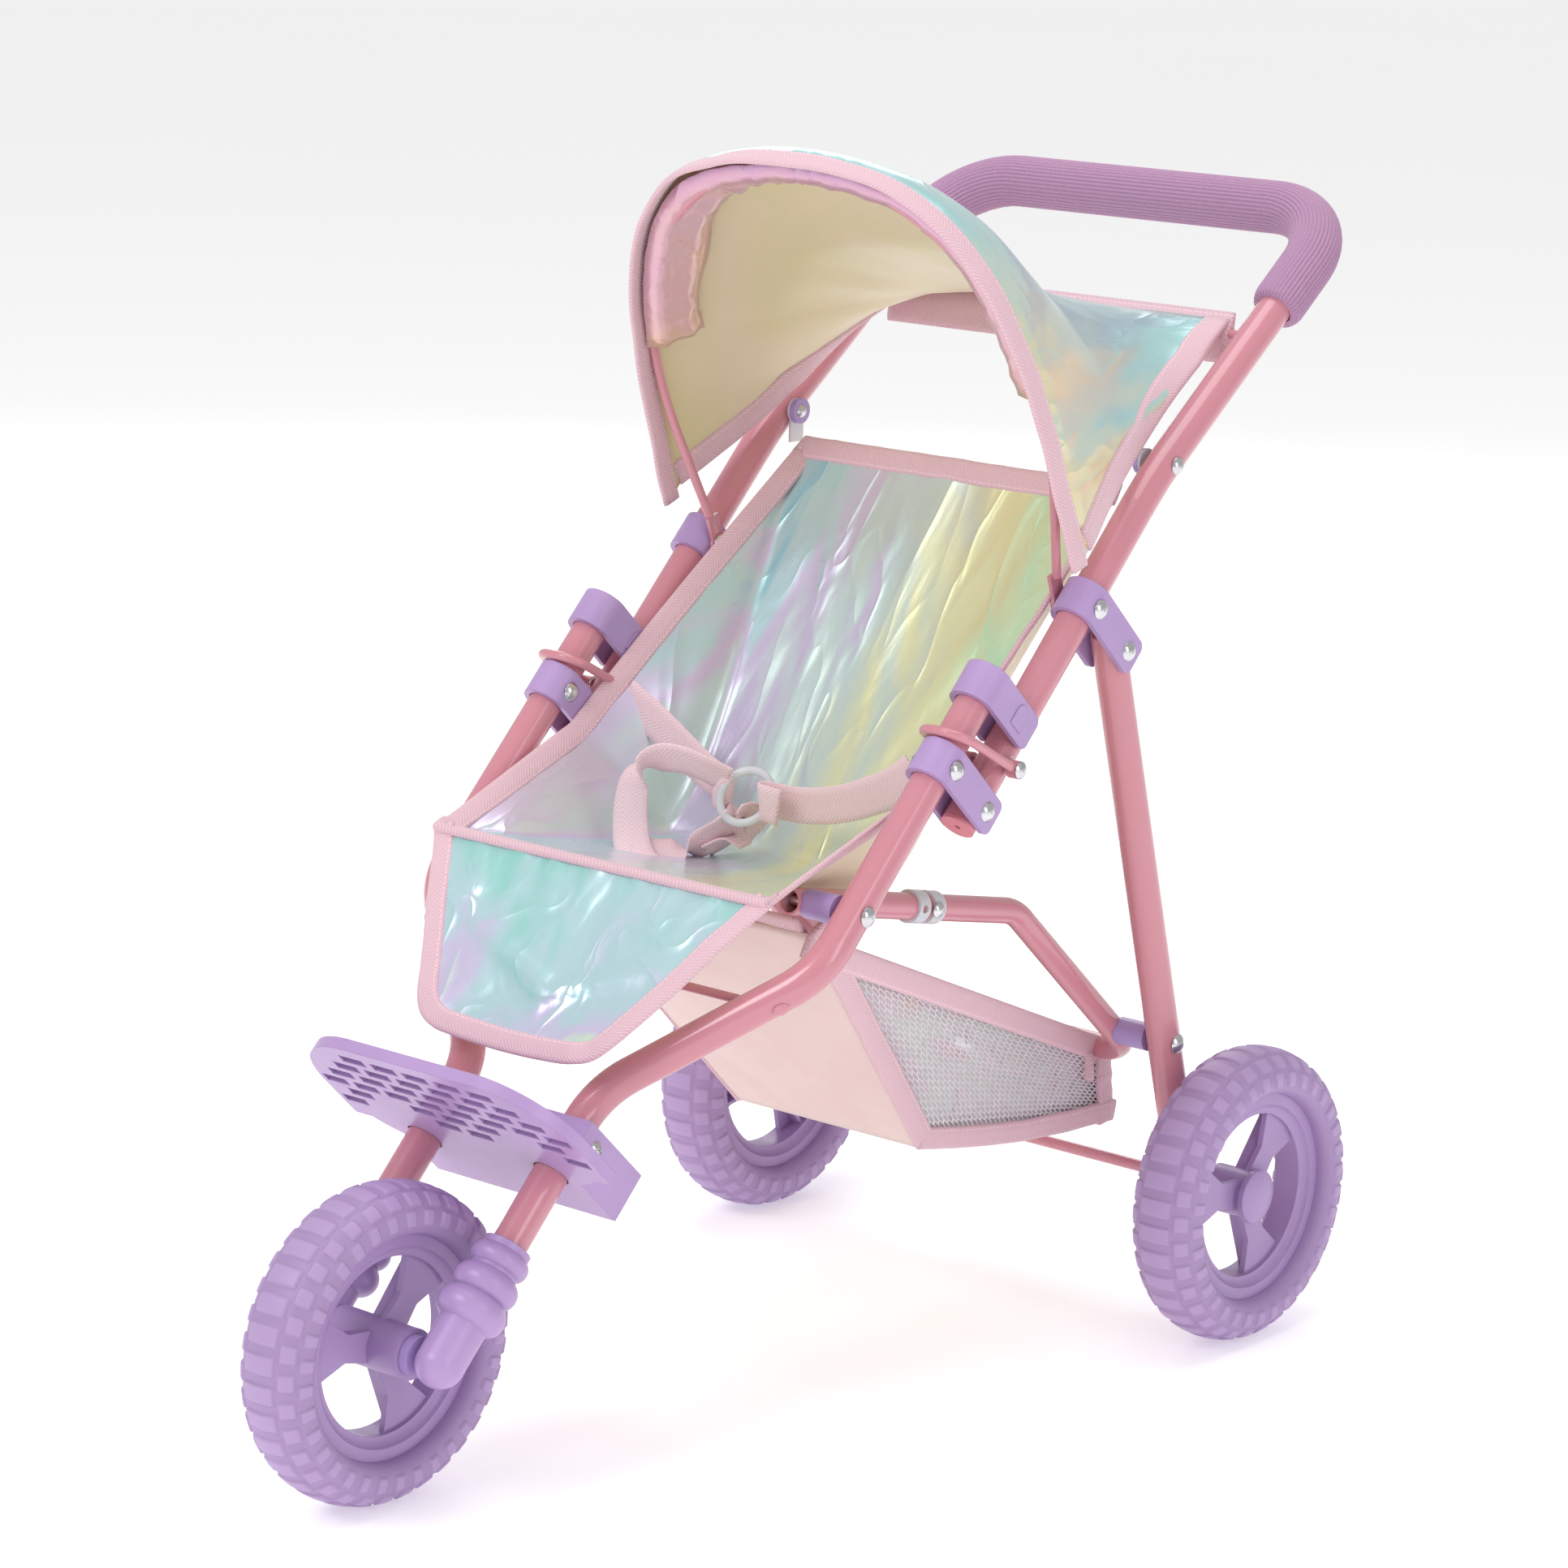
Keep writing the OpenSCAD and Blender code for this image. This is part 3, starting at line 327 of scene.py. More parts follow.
def mesh(name, verts, faces, mat, sew_at=None, mat_index=None, extra=()):
    me = bpy.data.meshes.new(name)
    me.from_pydata([tuple(v) for v in verts], [], faces)
    me.validate()
    bm = bmesh.new()
    bm.from_mesh(me)
    bmesh.ops.recalc_face_normals(bm, faces=bm.faces)
    bm.to_mesh(me)
    bm.free()
    o = bpy.data.objects.new(name, me)
    bpy.context.scene.collection.objects.link(o)
    for m in (mat, *extra):
        me.materials.append(m)
    for p in me.polygons:
        p.use_smooth = True
    if mat_index is not None:
        me.polygons.foreach_set("material_index", mat_index)
    if sew_at is not None:
        a = me.attributes.new("sew", "FLOAT_VECTOR", "POINT")
        a.data.foreach_set("vector", np.array(sew_at, np.float32).ravel())
    return o


def tangents(pts):
    return [((pts[min(i + 1, len(pts) - 1)] - pts[max(i - 1, 0)]).normalized()) for i in range(len(pts))]


def tube_faces(rows, k, closed=False):
    """The faces between rows of k points each, joined end to end if closed."""
    return [(i * k + j, i * k + (j + 1) % k, (i + 1) % rows * k + (j + 1) % k, (i + 1) % rows * k + j)
            for i in range(rows if closed else rows - 1) for j in range(k)]


def loop_sweep(name, pts, frames, profile, mat, sew_of=None):
    """A solid swept along pts: frames give (side, up) at each point, profile a closed ring of them."""
    k, n = len(profile), len(pts)
    verts, coords, along = [], [], 0.0
    for i, (p, (s, u)) in enumerate(zip(pts, frames)):
        if i:
            along += (p - pts[i - 1]).length
        for j, (a, b) in enumerate(profile):
            verts.append(p + s * a + u * b)
            if sew_of:
                coords.append((along, *sew_of(a, b)))
    faces = tube_faces(n, k) + [tuple(range(k)), tuple(range((n - 1) * k, n * k))]
    return mesh(name, verts, faces, mat, coords if sew_of else None)


def tape(name, pts, inward, width=.0105, thick=.0026, lip=.0012, wave=0.0, seed=0):
    """Binding tape folded over an edge: pts run along the edge and inward points into the cloth."""
    t = tangents(pts)
    fr = []
    for i, p in enumerate(pts):
        s = (inward[i] - t[i] * inward[i].dot(t[i])).normalized()
        fr.append((s, t[i].cross(s).normalized()))
    if wave:
        pts = [p + fr[i][1] * (wave * noise.noise(Vector((i * .22, seed, 0)))) for i, p in enumerate(pts)]
    h = thick / 2
    top = [(-lip, h * .35), (-lip * .4, h * .85), (width * .12, h), (width * .5, h * 1.05), (width * .9, h),
           (width, h * .55)]
    under = [(a, -b) for a, b in top[::-1]]
    prof = under[-1:] + top + under[:-1]
    return loop_sweep(name, pts, fr, prof, tape_mat, lambda a, b: (a + lip, width - a))


def strap(name, pts, across, width=.018, thick=.0016):
    """Flat webbing: across gives the width's direction at each point."""
    t = tangents(pts)
    fr = []
    for i in range(len(pts)):
        s = (across[i] - t[i] * across[i].dot(t[i])).normalized()
        fr.append((s, t[i].cross(s).normalized()))
    w, h = width / 2, thick / 2
    prof = [(-w, 0), (-w * .96, h * .8), (-w * .6, h), (0, h), (w * .6, h), (w * .96, h * .8), (w, 0),
            (w * .96, -h * .8),
            (w * .6, -h), (0, -h), (-w * .6, -h), (-w * .96, -h * .8)]
    return loop_sweep(name, pts, fr, prof, mats["pink_webbing"], lambda a, b: (a + w, w - abs(a)))


def flat_pattern(grid):
    """The flat pattern of a sheet, (width, length) and area, from the lengths of its edges and middle."""
    def run(pts):
        return sum((b - a).length for a, b in zip(pts, pts[1:]))
    first, last = run(grid[0]), run(grid[-1])
    length = run([row[len(row) // 2] for row in grid])
    return (max(first, last), length), (first + last) / 2 * length


def shell(name, grid, thick, front, back):
    """A thin sheet of cloth through rows of points, with an outer and an inner face."""
    g = np.array([[tuple(p) for p in row] for row in grid])
    du, dv = np.gradient(g, axis=1), np.gradient(g, axis=0)
    nrm = np.cross(dv, du)
    nrm /= np.maximum(np.linalg.norm(nrm, axis=2, keepdims=True), 1e-12)
    r, c = g.shape[:2]
    verts = np.concatenate([(g + nrm * thick / 2).reshape(-1, 3), (g - nrm * thick / 2).reshape(-1, 3)])
    faces, kinds, off = [], [], r * c
    for i in range(r - 1):
        for j in range(c - 1):
            q = (i * c + j, i * c + j + 1, (i + 1) * c + j + 1, (i + 1) * c + j)
            faces.append(q)
            kinds.append(0)
            faces.append(tuple(off + x for x in q[::-1]))
            kinds.append(1)
    rim = [(0, j) for j in range(c)] + [(i, c - 1) for i in range(1, r)]
    rim += [(r - 1, j) for j in range(c - 2, -1, -1)] + [(i, 0) for i in range(r - 2, 0, -1)]
    rim = [i * c + j for i, j in rim]
    for a, b in zip(rim, rim[1:] + rim[:1]):
        faces.append((a, b, off + b, off + a))
        kinds.append(0)
    return mesh(name, [tuple(v) for v in verts], faces, front, mat_index=kinds, extra=(back,))


def ridge(x, sharp=2.5):
    """A soft fold profile between 0 and 1."""
    return (1 - abs(math.sin(x))) ** sharp

# ---------------------------------------------------------------- tyres

def tread(a, w):
    """Height of the moulded blocks at angle a and place w across the tyre, -1 to 1."""
    def block(count, shift, w0, w1, duty):
        f = (a / (2 * math.pi) * count + shift) % 1
        along = smooth(0, .05, f) * (1 - smooth(duty, duty + .05, f))
        side = smooth(w0 - .02, w0, w) * (1 - smooth(w1, w1 + .02, w))
        return along * side
    h = 0
    for s in (-1, 1):
        h = max(h, block(34, .0, *sorted((s * .30, s * .06)), .62),
                block(34, .5, *sorted((s * .64, s * .40)), .58),
                block(34, .06, *sorted((s * .99, s * .76)), .46))
    return h


# The tyre's outer section from the rim to the tread: (radius, half width) in millimetres
SECTION = [(52.7, 9), (52.7, 11.6), (53.3, 14.2), (55.0, 16.6), (57.6, 18.2), (60.6, 18.5), (63.6, 18.0),
           (66.4, 16.7), (69.0, 14.6), (71.2, 11.8), (72.6, 8.6), (73.5, 5.2), (73.9, 1.8)]
def tyre(name, node, body):
    lo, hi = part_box(node)
    cx, cy, cz = (lo + hi) / 2
    fine = polyline([(x, y, 0) for y, x in SECTION], 48)
    fine = [(p.y, p.x) for p in fine]
    prof = fine + [(r, -x) for r, x in fine[::-1]]
    n, k = 720, len(prof)
    reach = [0.0]
    for (r0, x0), (r1, x1) in zip(prof, prof[1:]):
        reach.append(reach[-1] + math.hypot(r1 - r0, x1 - x0))
    verts, lugs, nr = [], [], []
    for j, (r, x) in enumerate(prof):
        (r0, x0), (r1, x1) = prof[max(j - 1, 0)], prof[min(j + 1, k - 1)]
        d = Vector((r1 - r0, x1 - x0)).normalized()
        nr.append((-d.y, d.x) if (-d.y * (r - 58) + d.x * x) > 0 else (d.y, -d.x))
    for i in range(n):
        a = 2 * math.pi * i / n
        for j, (r, x) in enumerate(prof):
            w = 2 * reach[j] / reach[-1] - 1
            lugs.append(tread(a, w * 1.42) if abs(w) < .73 else 0)
            h = 1.0 * lugs[-1]
            rr, xx = r + nr[j][0] * h, x + nr[j][1] * h
            verts.append((cx + xx / 1000, cy + rr * math.cos(a) / 1000, cz + rr * math.sin(a) / 1000))
    o = mesh(name, verts, tube_faces(n, k, True), mats["lilac_tyre"])
    o.data.attributes.new("lug", "FLOAT", "POINT").data.foreach_set("value", np.array(lugs, np.float32))
    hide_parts(node)
    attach(o, body)
    return o
tyre("tyre_front", "front_tyre", "front_wheel")
tyre("tyre_rear_right", "rear_tyre_right", "rear_wheel_right")
tyre("tyre_rear_left", "rear_tyre_left", "rear_wheel_left")

# ---------------------------------------------------------------- foam grip

def grip():
    a, c = V(121, 47.8, 511.8), V(121, 104.74, 555.16)
    d, r = (c - a).normalized(), .040
    path = [a.lerp(c - d * r, t) for t in np.linspace(0, 1, 14)]
    for t in np.linspace(0, math.pi / 2, 22)[1:]:
        path.append(c - d * r + d * (r * math.sin(t)) + Vector((-1, 0, 0)) * (r * (1 - math.cos(t))))
    half = path[-1].x
    path += [Vector((half * (1 - t), path[-1].y, path[-1].z)) for t in np.linspace(0, 1, 24)[1:]]
    path += [Vector((-p.x, p.y, p.z)) for p in path[-2::-1]]
    up = Vector((1, 0, 0)).cross(d).normalized()
    t = tangents(path)
    ribs, k = 40, 40 * 6
    verts = []
    n = len(path)
    for i, p in enumerate(path):
        s = t[i].cross(up).normalized()
        bend = max(0.0, 1 - abs(abs(p.x) - .102) / .02)
        for j in range(k):
            q = 2 * math.pi * j / k
            inner = max(0.0, -s.x * math.cos(q) * (1 if p.x > 0 else -1))
            rad = .01338 - .00075 * (1 - abs(math.cos(ribs * q / 2)) ** .7)
            rad += .0003 * bend * inner * math.sin(i * 2.2)
            end = min(i, n - 1 - i)
            rad -= {0: .0016, 1: .0005}.get(end, 0)
            verts.append(p + s * math.cos(q) * rad + up * math.sin(q) * rad)
    faces = tube_faces(n, k)
    for row in (0, n - 1):
        ring = []
        for j in range(k):
            q = 2 * math.pi * j / k
            s = t[row].cross(up).normalized()
            ring.append(len(verts))
            verts.append(path[row] + (s * math.cos(q) + up * math.sin(q)) * .0086)
        faces += [(row * k + j, row * k + (j + 1) % k, ring[(j + 1) % k], ring[j]) for j in range(k)]
    o = mesh("foam_grip", verts, faces, mats["mauve_foam"])
    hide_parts("handle_grip")
    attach(o, "handle_frame")
grip()

# ---------------------------------------------------------------- canopy

LEAN = math.radians(110)
PIN = V(0, -103.7, 383.3)
UP = Vector((0, math.cos(LEAN), math.sin(LEAN)))
AHEAD = Vector((0, -math.sin(LEAN), math.cos(LEAN)))
def arch_at(half, low, top):
    """The arch's knots, from the right lower corner over the top to the left lower corner."""
    knots = [(1.02, low), (1.01, .055), (1.0, .085), (.97, .125), (.895, .16), (.76, .19), (.56, .211),
             (.30, .2205), (0, top)]
    k = [Vector((x * half, z, 0)) for x, z in knots]
    return k + [Vector((-p.x, p.y, 0)) for p in k[-2::-1]]


# Points along the arch, and the share of the cloth's depth that lies in front of the bow
ARCH_N = 97
HEM_SHARE = .07
def arch_line(half, low, top, ahead):
    p = polyline(arch_at(half, low, top), ARCH_N)
    return [PIN + Vector((q.x, 0, 0)) + UP * q.y + AHEAD * ahead for q in p]


def canopy():
    front = arch_line(.1262, .024, .2225, .0095)
    ridge_line = arch_line(.1264, .030, .2250, -.004)
    rear = [V(mix(104.5, -104.5, i / (ARCH_N - 1)), 31.5, 506.5) for i in range(ARCH_N)]
    rows = 44
    grid = []
    for j in range(rows):
        t = j / (rows - 1)
        row = []
        for i in range(ARCH_N):
            u = i / (ARCH_N - 1)
            side = abs(2 * u - 1)
            if t < HEM_SHARE:
                p = front[i].lerp(ridge_line[i], t / HEM_SHARE)
            else:
                s = (t - HEM_SHARE) / (1 - HEM_SHARE)
                p = ridge_line[i].lerp(rear[i], s)
                crown = math.sin(math.pi * u)
                p = p + Vector((0, 0, 1)) * (.014 * math.sin(math.pi * min(1, s * 2.4)) * crown ** 2
                    - .020 * math.sin(math.pi * s) * max(0, crown - .25))
                pull = 4 * s * (1 - s)
                out = Vector((1 if u < .5 else -1, 0, 0))
                ang = math.atan2((p.z - rear[0].z), abs(p.y - rear[0].y) + .02)
                fold = ridge(ang * 9 + 1.3 * noise.noise(p * 14), 2) * smooth(.25, .95, side)
                p = p + out * (fold * .0035 * pull) - out * (.006 * pull * smooth(.3, .8, side))
                p = p + Vector((0, 0, 1)) * (.0022 * pull * noise.noise(Vector((u * 17, s * 2.2, 3))))
            row.append(p)
        grid.append(row)
    main = shell("canopy_cloth", grid, .0012, canopy_out, canopy_in)
    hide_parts("canopy")
    near = [grid[j][0] for j in range(3, rows)]
    far = [grid[j][-1] for j in range(3, rows)]
    parts = [main]
    inward = [(grid[3][i] - grid[0][i]) for i in range(ARCH_N)]
    parts.append(tape("canopy_front_tape", [p.copy() for p in grid[0]], inward, .0100, .0030, wave=.0012,
                      seed=2))
    near_in = [grid[j][4] for j in range(3, rows)]
    far_in = [grid[j][-5] for j in range(3, rows)]
    for tag, line, nxt in (("right", near, near_in), ("left", far, far_in)):
        parts.append(tape("canopy_side_tape_" + tag, line, [b - a for a, b in zip(line, nxt)], .0125, .0040,
                          wave=.0003, seed=5))
    # sleeve round the rear rod
    n = 40
    pts = [V(mix(106.5, -106.5, i / n), 31.2, 500) for i in range(n + 1)]
    fr = [(Vector((0, .35, .94)).normalized(), Vector((0, -.94, .35)).normalized())] * (n + 1)
    prof = [(.0105, -.0009), (.0108, .0009), (.004, .0022), (0, .0036), (-.004, .0034), (-.0125, .0016),
            (-.0150, .0004),
            (-.0150, -.0010), (-.0125, -.0016), (-.004, -.0034), (0, -.0036), (.004, -.0022)]
    parts.append(loop_sweep("canopy_rear_sleeve", pts, fr, prof, tape_mat, lambda a,
                            b: (a + .015, .0105 - a)))
    # gathered casing round the bow wire, inside the front edge
    casing, i0 = [], 15
    for j in range(10):
        t, row = j / 9, []
        f = 1 + 7.5 * t
        for i in range(i0, ARCH_N - i0):
            p = grid[int(f)][i].lerp(grid[int(f) + 1][i], f - int(f))
            c = PIN + UP * .10 - p
            c.x *= .9
            c.normalize()
            pleat = ridge(i * .95 + 2.0 * noise.noise(Vector((i * .15, t, 1)))) * .0026
            pleat *= .25 + math.sin(math.pi * min(1, t * 1.1))
            wave = .0030 * math.sin(i * .55) * t * t
            inside = .0028 + .0118 * smooth(-.03, .13, t) * (1 - .8 * smooth(.55, 1, t)) + pleat
            row.append(p + c * inside - AHEAD * wave)
        casing.append(row)
    parts.append(shell("canopy_casing", casing, .0010, casing_mat, casing_mat))
    for o in parts:
        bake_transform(o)
    flat, area = flat_pattern(grid)
canopy()

# ---------------------------------------------------------------- seat

# Y and Z of the seat's top edge, its side edges' knee, its front lip and the crease of its floor
TOP, MID, LIP, CREASE = (-46, 432), (-212, 306), (-310, 271.5), (-176, 247)
# The share of the seat's length above the crease, and of its half width that is floor
BACK_SHARE, FLOOR_SHARE = .62, .70
def seat():
    rows, cols = 90, 71
    top, mid, lip, cr = (Vector((0, p[0], p[1])) for p in (TOP, MID, LIP, CREASE))
    grid = []
    for j in range(rows):
        t = j / (rows - 1)
        cut = BACK_SHARE
        if t < cut:
            s = t / cut
            floor, edge = top.lerp(cr, s), top.lerp(mid, s)
        else:
            s = (t - cut) / (1 - cut)
            floor, edge = cr.lerp(lip, s), mid.lerp(lip, s)
        near_crease = math.exp(-((t - cut) / .045) ** 2)
        floor = floor + Vector((0, -3, 4)) * near_crease
        xf = mix(98, 74, smooth(0, .55, t)) if t < cut else mix(74, 99, smooth(.80, 1, t) ** 2.2)
        xb = 100 + 8 * math.sin(math.pi * min(1, t / cut) * .5) - 3.5 * smooth(cut, 1, t)
        row = []
        for i in range(cols):
            u = 2 * i / (cols - 1) - 1
            a = abs(u)
            k = FLOOR_SHARE
            if a < k:
                x = a / k * xf
                p = floor.copy()
                sag = math.sin(math.pi * min(1, t / cut if t < cut else 1 - (t - cut) / (1 - cut)))
                p += Vector((0, .3, -.7)) * (3.0 * (1 - (a / k) ** 2)) * sag
            else:
                s2 = (a - k) / (1 - k)
                x = mix(xf, xb, s2)
                p = floor.lerp(edge, s2)
                x -= 3.5 * math.sin(math.pi * s2) * math.sin(math.pi * t)
            sgn = 1 if u > 0 else -1
            # folds that fan down from the gathered top edge, and stretch lines towards the crease's corners
            fan = ridge(u * 17 + 2.2 * noise.noise(Vector((u * 5, t * 2, 1))), 2.2) * math.exp(-t * 7)
            long = ridge(u * 6.5 + t * 3.2 * sgn + 1.6 * noise.noise(Vector((u * 2.4, t * 2.4, 5))), 3)
            long *= math.sin(math.pi * min(1, t * 1.25)) ** .8
            lump = noise.noise(Vector((u * 2.6, t * 4.2, 7)))
            d = (1.8 * fan + 2.0 * long + 2.0 * lump) * (1 - smooth(.93, 1, a))
            d *= (1 - smooth(.94, 1, t)) * smooth(0, .03, t + .012)
            p = p + Vector((0, -.80, .60)) * d
            row.append(V(sgn * x, p.y, p.z))
        grid.append(row)
    g = np.array([[tuple(p) for p in r] for r in grid])
    for _ in range(3):
        s = g.copy()
        s[1:-1, 1:-1] = (g[1:-1, 1:-1] * 2 + g[:-2, 1:-1] + g[2:, 1:-1] + g[1:-1, :-2] + g[1:-1, 2:]) / 6
        g = s
    grid = [[Vector(p) for p in r] for r in g]
    main = shell("seat_cloth", grid, .0014, mats["iridescent_cloth"], seat_back)
    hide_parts("seat")
    parts = [main]
    parts.append(tape("seat_top_tape", [p.copy() for p in grid[0]],
                      [b - a for a, b in zip(grid[0], grid[4])], .0115, .0030))
    for tag, c, c2 in (("left", 0, 3), ("right", -1, -4)):
        line = [grid[j][c].copy() for j in range(2, rows)]
        inward = [grid[max(j, 6)][c2] - grid[max(j, 6)][c] for j in range(2, rows)]
        parts.append(tape("seat_side_tape_" + tag, line, inward, .0105, .0028, wave=.0006, seed=3))
    parts.append(tape("seat_lip_tape", [p.copy() + Vector((0, -.0012, .0004)) for p in grid[-1]],
                      [b - a for a, b in zip(grid[-1], grid[-5])], .0088, .0046))
    for o in parts:
        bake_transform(o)
    flat, area = flat_pattern(grid)
seat()

# ---------------------------------------------------------------- calf panel

def calf():
    rows, cols = 34, 49
    out = [(-105, -309.0, 271.0), (-98, -317, 262), (-63, -364, 210), (-53, -371.5, 201),
           (-41, -374, 198.5)]
    side = polyline([V(*p) for p in out], rows)
    grid = []
    for j in range(rows):
        row = []
        t = j / (rows - 1)
        for i in range(cols):
            u = 2 * i / (cols - 1) - 1
            p = side[j]
            x = p.x * -u
            y, z = p.y, p.z
            belly = (1 - u * u) * math.sin(math.pi * t * .85)
            d = -.0025 * belly + .0022 * noise.noise(Vector((u * 2.1, t * 2.6, 2))) * math.sin(math.pi * t)
            fan = ridge(u * 13 + 1.6 * noise.noise(Vector((u * 4, t * 3, 8))),
                        2.4) * math.exp(-t * 6) * .0016
            v1 = math.exp(-((t - .62 + .30 * (abs(u - .12))) / .055) ** 2) * (1 - smooth(.5, .95,
                                                                                         abs(u))) * .0028
            d += fan + v1
            row.append(Vector((x, y - d * .70, z + d * .71 - .0016 * math.cos(u * 1.5) * t)))
        grid.append(row)
    main = shell("calf_cloth", grid, .0012, mats["aqua_cloth"], seat_back)
    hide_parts("calf_panel")
    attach(main, "front_frame")
    rim = [grid[j][0] for j in range(rows)] + grid[-1][1:-1] + [grid[j][-1] for j in range(rows - 1, -1,
                                                                                           -1)]
    mid = grid[rows // 3][cols // 2]
    rim = polyline(rim, 120, False)
    t = tape("calf_tape", rim, [mid - p for p in rim], .0100, .0030, wave=.0005, seed=11)
    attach(t, "front_frame")
calf()

# ---------------------------------------------------------------- harness

def harness():
    ring = V(-1, -203.7, 286.4)
    made = []
    def row(name, knots, width, hang):
        pts = polyline([V(*k[:3]) for k in knots], 64)
        return strap(name, pts, [Vector(hang[0]).lerp(Vector(hang[1]), i / 63) for i in range(64)], width,
                     .0016)
    made.append(row("waist_strap_right", [(100, -200.5, 314.4), (88, -197, 306), (76, -195.2, 299.7),
                                          (50, -193.7, 289), (28, -194.9, 285),
                    (14, -197, 285.5), (9, -204, 286.5), (12, -209, 287), (22, -206,
                                                                           285)], .0190, ((0, -.25, .97),
                                                                                          (0, -.15, .98))))
    made.append(row("waist_strap_left", [(-103, -178, 317), (-84, -176, 306), (-62, -180, 296),
                                         (-38, -189, 289), (-18, -197, 287),
                    (-9, -203, 287), (-12, -209, 288), (-20, -206, 288)], .0190, ((.55, .1, .8),
                                                                                  (.2, -.1, .97))))
    made.append(row("crotch_strap_loop", [(-44, -238, 256), (-36, -226, 254.5), (-26, -214, 257),
                                          (-17, -207, 266), (-8, -204, 274),
                    (-2, -199, 278), (-4, -196, 272), (-14, -198, 263), (-24, -206,
                                                                         256)], .0180, ((.35, .85, .1),
                                                                                        (.75, .1, .6))))
    made.append(row("waist_strap_tail", [(-10, -207, 294), (-18, -214, 299), (-28, -219, 303),
                                         (-40, -223, 303), (-50, -227, 295), (-53, -229, 280),
                    (-50, -232, 265), (-44, -236, 256.5), (-34, -240, 255)], .0180, ((.1, -.55, .8),
                                                                                     (.8, .6, 0))))
    # ring buckle
    pts, n = [], 48
    ax, up = Vector((.82, .42, .10)).normalized(), Vector((-.05, .25, .95)).normalized()
    for i in range(n):
        a = 2 * math.pi * i / n
        pts.append(ring + ax * (.0128 * math.cos(a)) + up * (.0128 * math.sin(a)))
    verts, k = [], 12
    nrm = ax.cross(up).normalized()
    for i, p in enumerate(pts):
        d = (p - ring).normalized()
        for j in range(k):
            q = 2 * math.pi * j / k
            verts.append(p + d * (.0021 * math.cos(q)) + nrm * (.0015 * math.sin(q)))
    o = mesh("harness_ring_round", verts, tube_faces(n, k, True), mats["white_plastic"])
    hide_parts("harness_ring")
    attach(o, "front_frame")
    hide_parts("waist_straps")
    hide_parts("crotch_strap")
    for m in made:
        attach(m, "front_frame")
harness()

# ---------------------------------------------------------------- basket

# The corners of its sides: half width, Y and Z at the front top, rear top, front bottom and rear bottom
FT, BT, FB, BB = (83, -254, 243), (67, 6, 134), (58.5, -138, 108.5), (66, 12, 92)
def quad(name, corners, nu, nv, mat, back, sag=.0, seed=0, wrinkle=.0012):
    """A cloth panel between four corners (two along the top, then two along the bottom)."""
    a, b, d, c = corners
    nrm = (b - a).cross(d - a).normalized()
    grid = []
    for j in range(nv):
        t = j / (nv - 1)
        row = []
        for i in range(nu):
            u = i / (nu - 1)
            p = a.lerp(b, u).lerp(d.lerp(c, u), t)
            e = 16 * u * (1 - u) * t * (1 - t)
            row.append(p + nrm * (sag * e + wrinkle * e * noise.noise(Vector((u * 3, t * 3, seed)) * 1.7)))
        grid.append(row)
    return shell(name, grid, .0010, mat, back), grid


def net(name, corners, pitch=.0064, wire=.00046):
    """A knitted mesh window: hexagonal cells as thin strands."""
    a, b, d, c = corners
    w, h = (b - a).length, ((d - a).length + (c - b).length) / 2
    nrm = (b - a).cross(d - a).normalized()
    cols, rows = int(w / pitch), int(h / (pitch * .62))
    def at(u, v):
        e = 16 * u * (1 - u) * v * (1 - v)
        return a.lerp(b, u).lerp(d.lerp(c, u), v) + nrm * (.003 * e)
    lines = []
    for r in range(rows + 1):
        pts = []
        for q in range(2 * cols + 1):
            u = q / (2 * cols)
            v = (r + (.28 if (q + r) % 2 else -.28)) / rows
            pts.append(at(u, min(1, max(0, v))))
        lines.append(pts)
    links = []
    for r in range(rows):
        for q in range(2 * cols + 1):
            if (q + r) % 2:
                links.append((lines[r][q], lines[r + 1][q]))
    verts, faces = [], []
    def seg(p, q):
        t = (q - p)
        if t.length < 1e-6:
            return
        t.normalize()
        s = t.cross(nrm).normalized()
        base = len(verts)
        for o in (p, q):
            for k in range(3):
                ang = 2 * math.pi * k / 3
                verts.append(o + s * (wire * math.cos(ang)) + nrm * (wire * math.sin(ang)))
        for k in range(3):
            faces.append((base + k, base + (k + 1) % 3, base + 3 + (k + 1) % 3, base + 3 + k))
    for pts in lines:
        for p, q in zip(pts, pts[1:]):
            seg(p, q)
    for p, q in links:
        seg(p, q)
    return mesh(name, verts, faces, net_mat)

net_mat = Mat("white_net", Roughness=.55, Sheen_Weight=.3)
net_mat.put("Base Color", shades(net_mat, (.88, .84, .87), .04, 200))
net_mat = net_mat.m


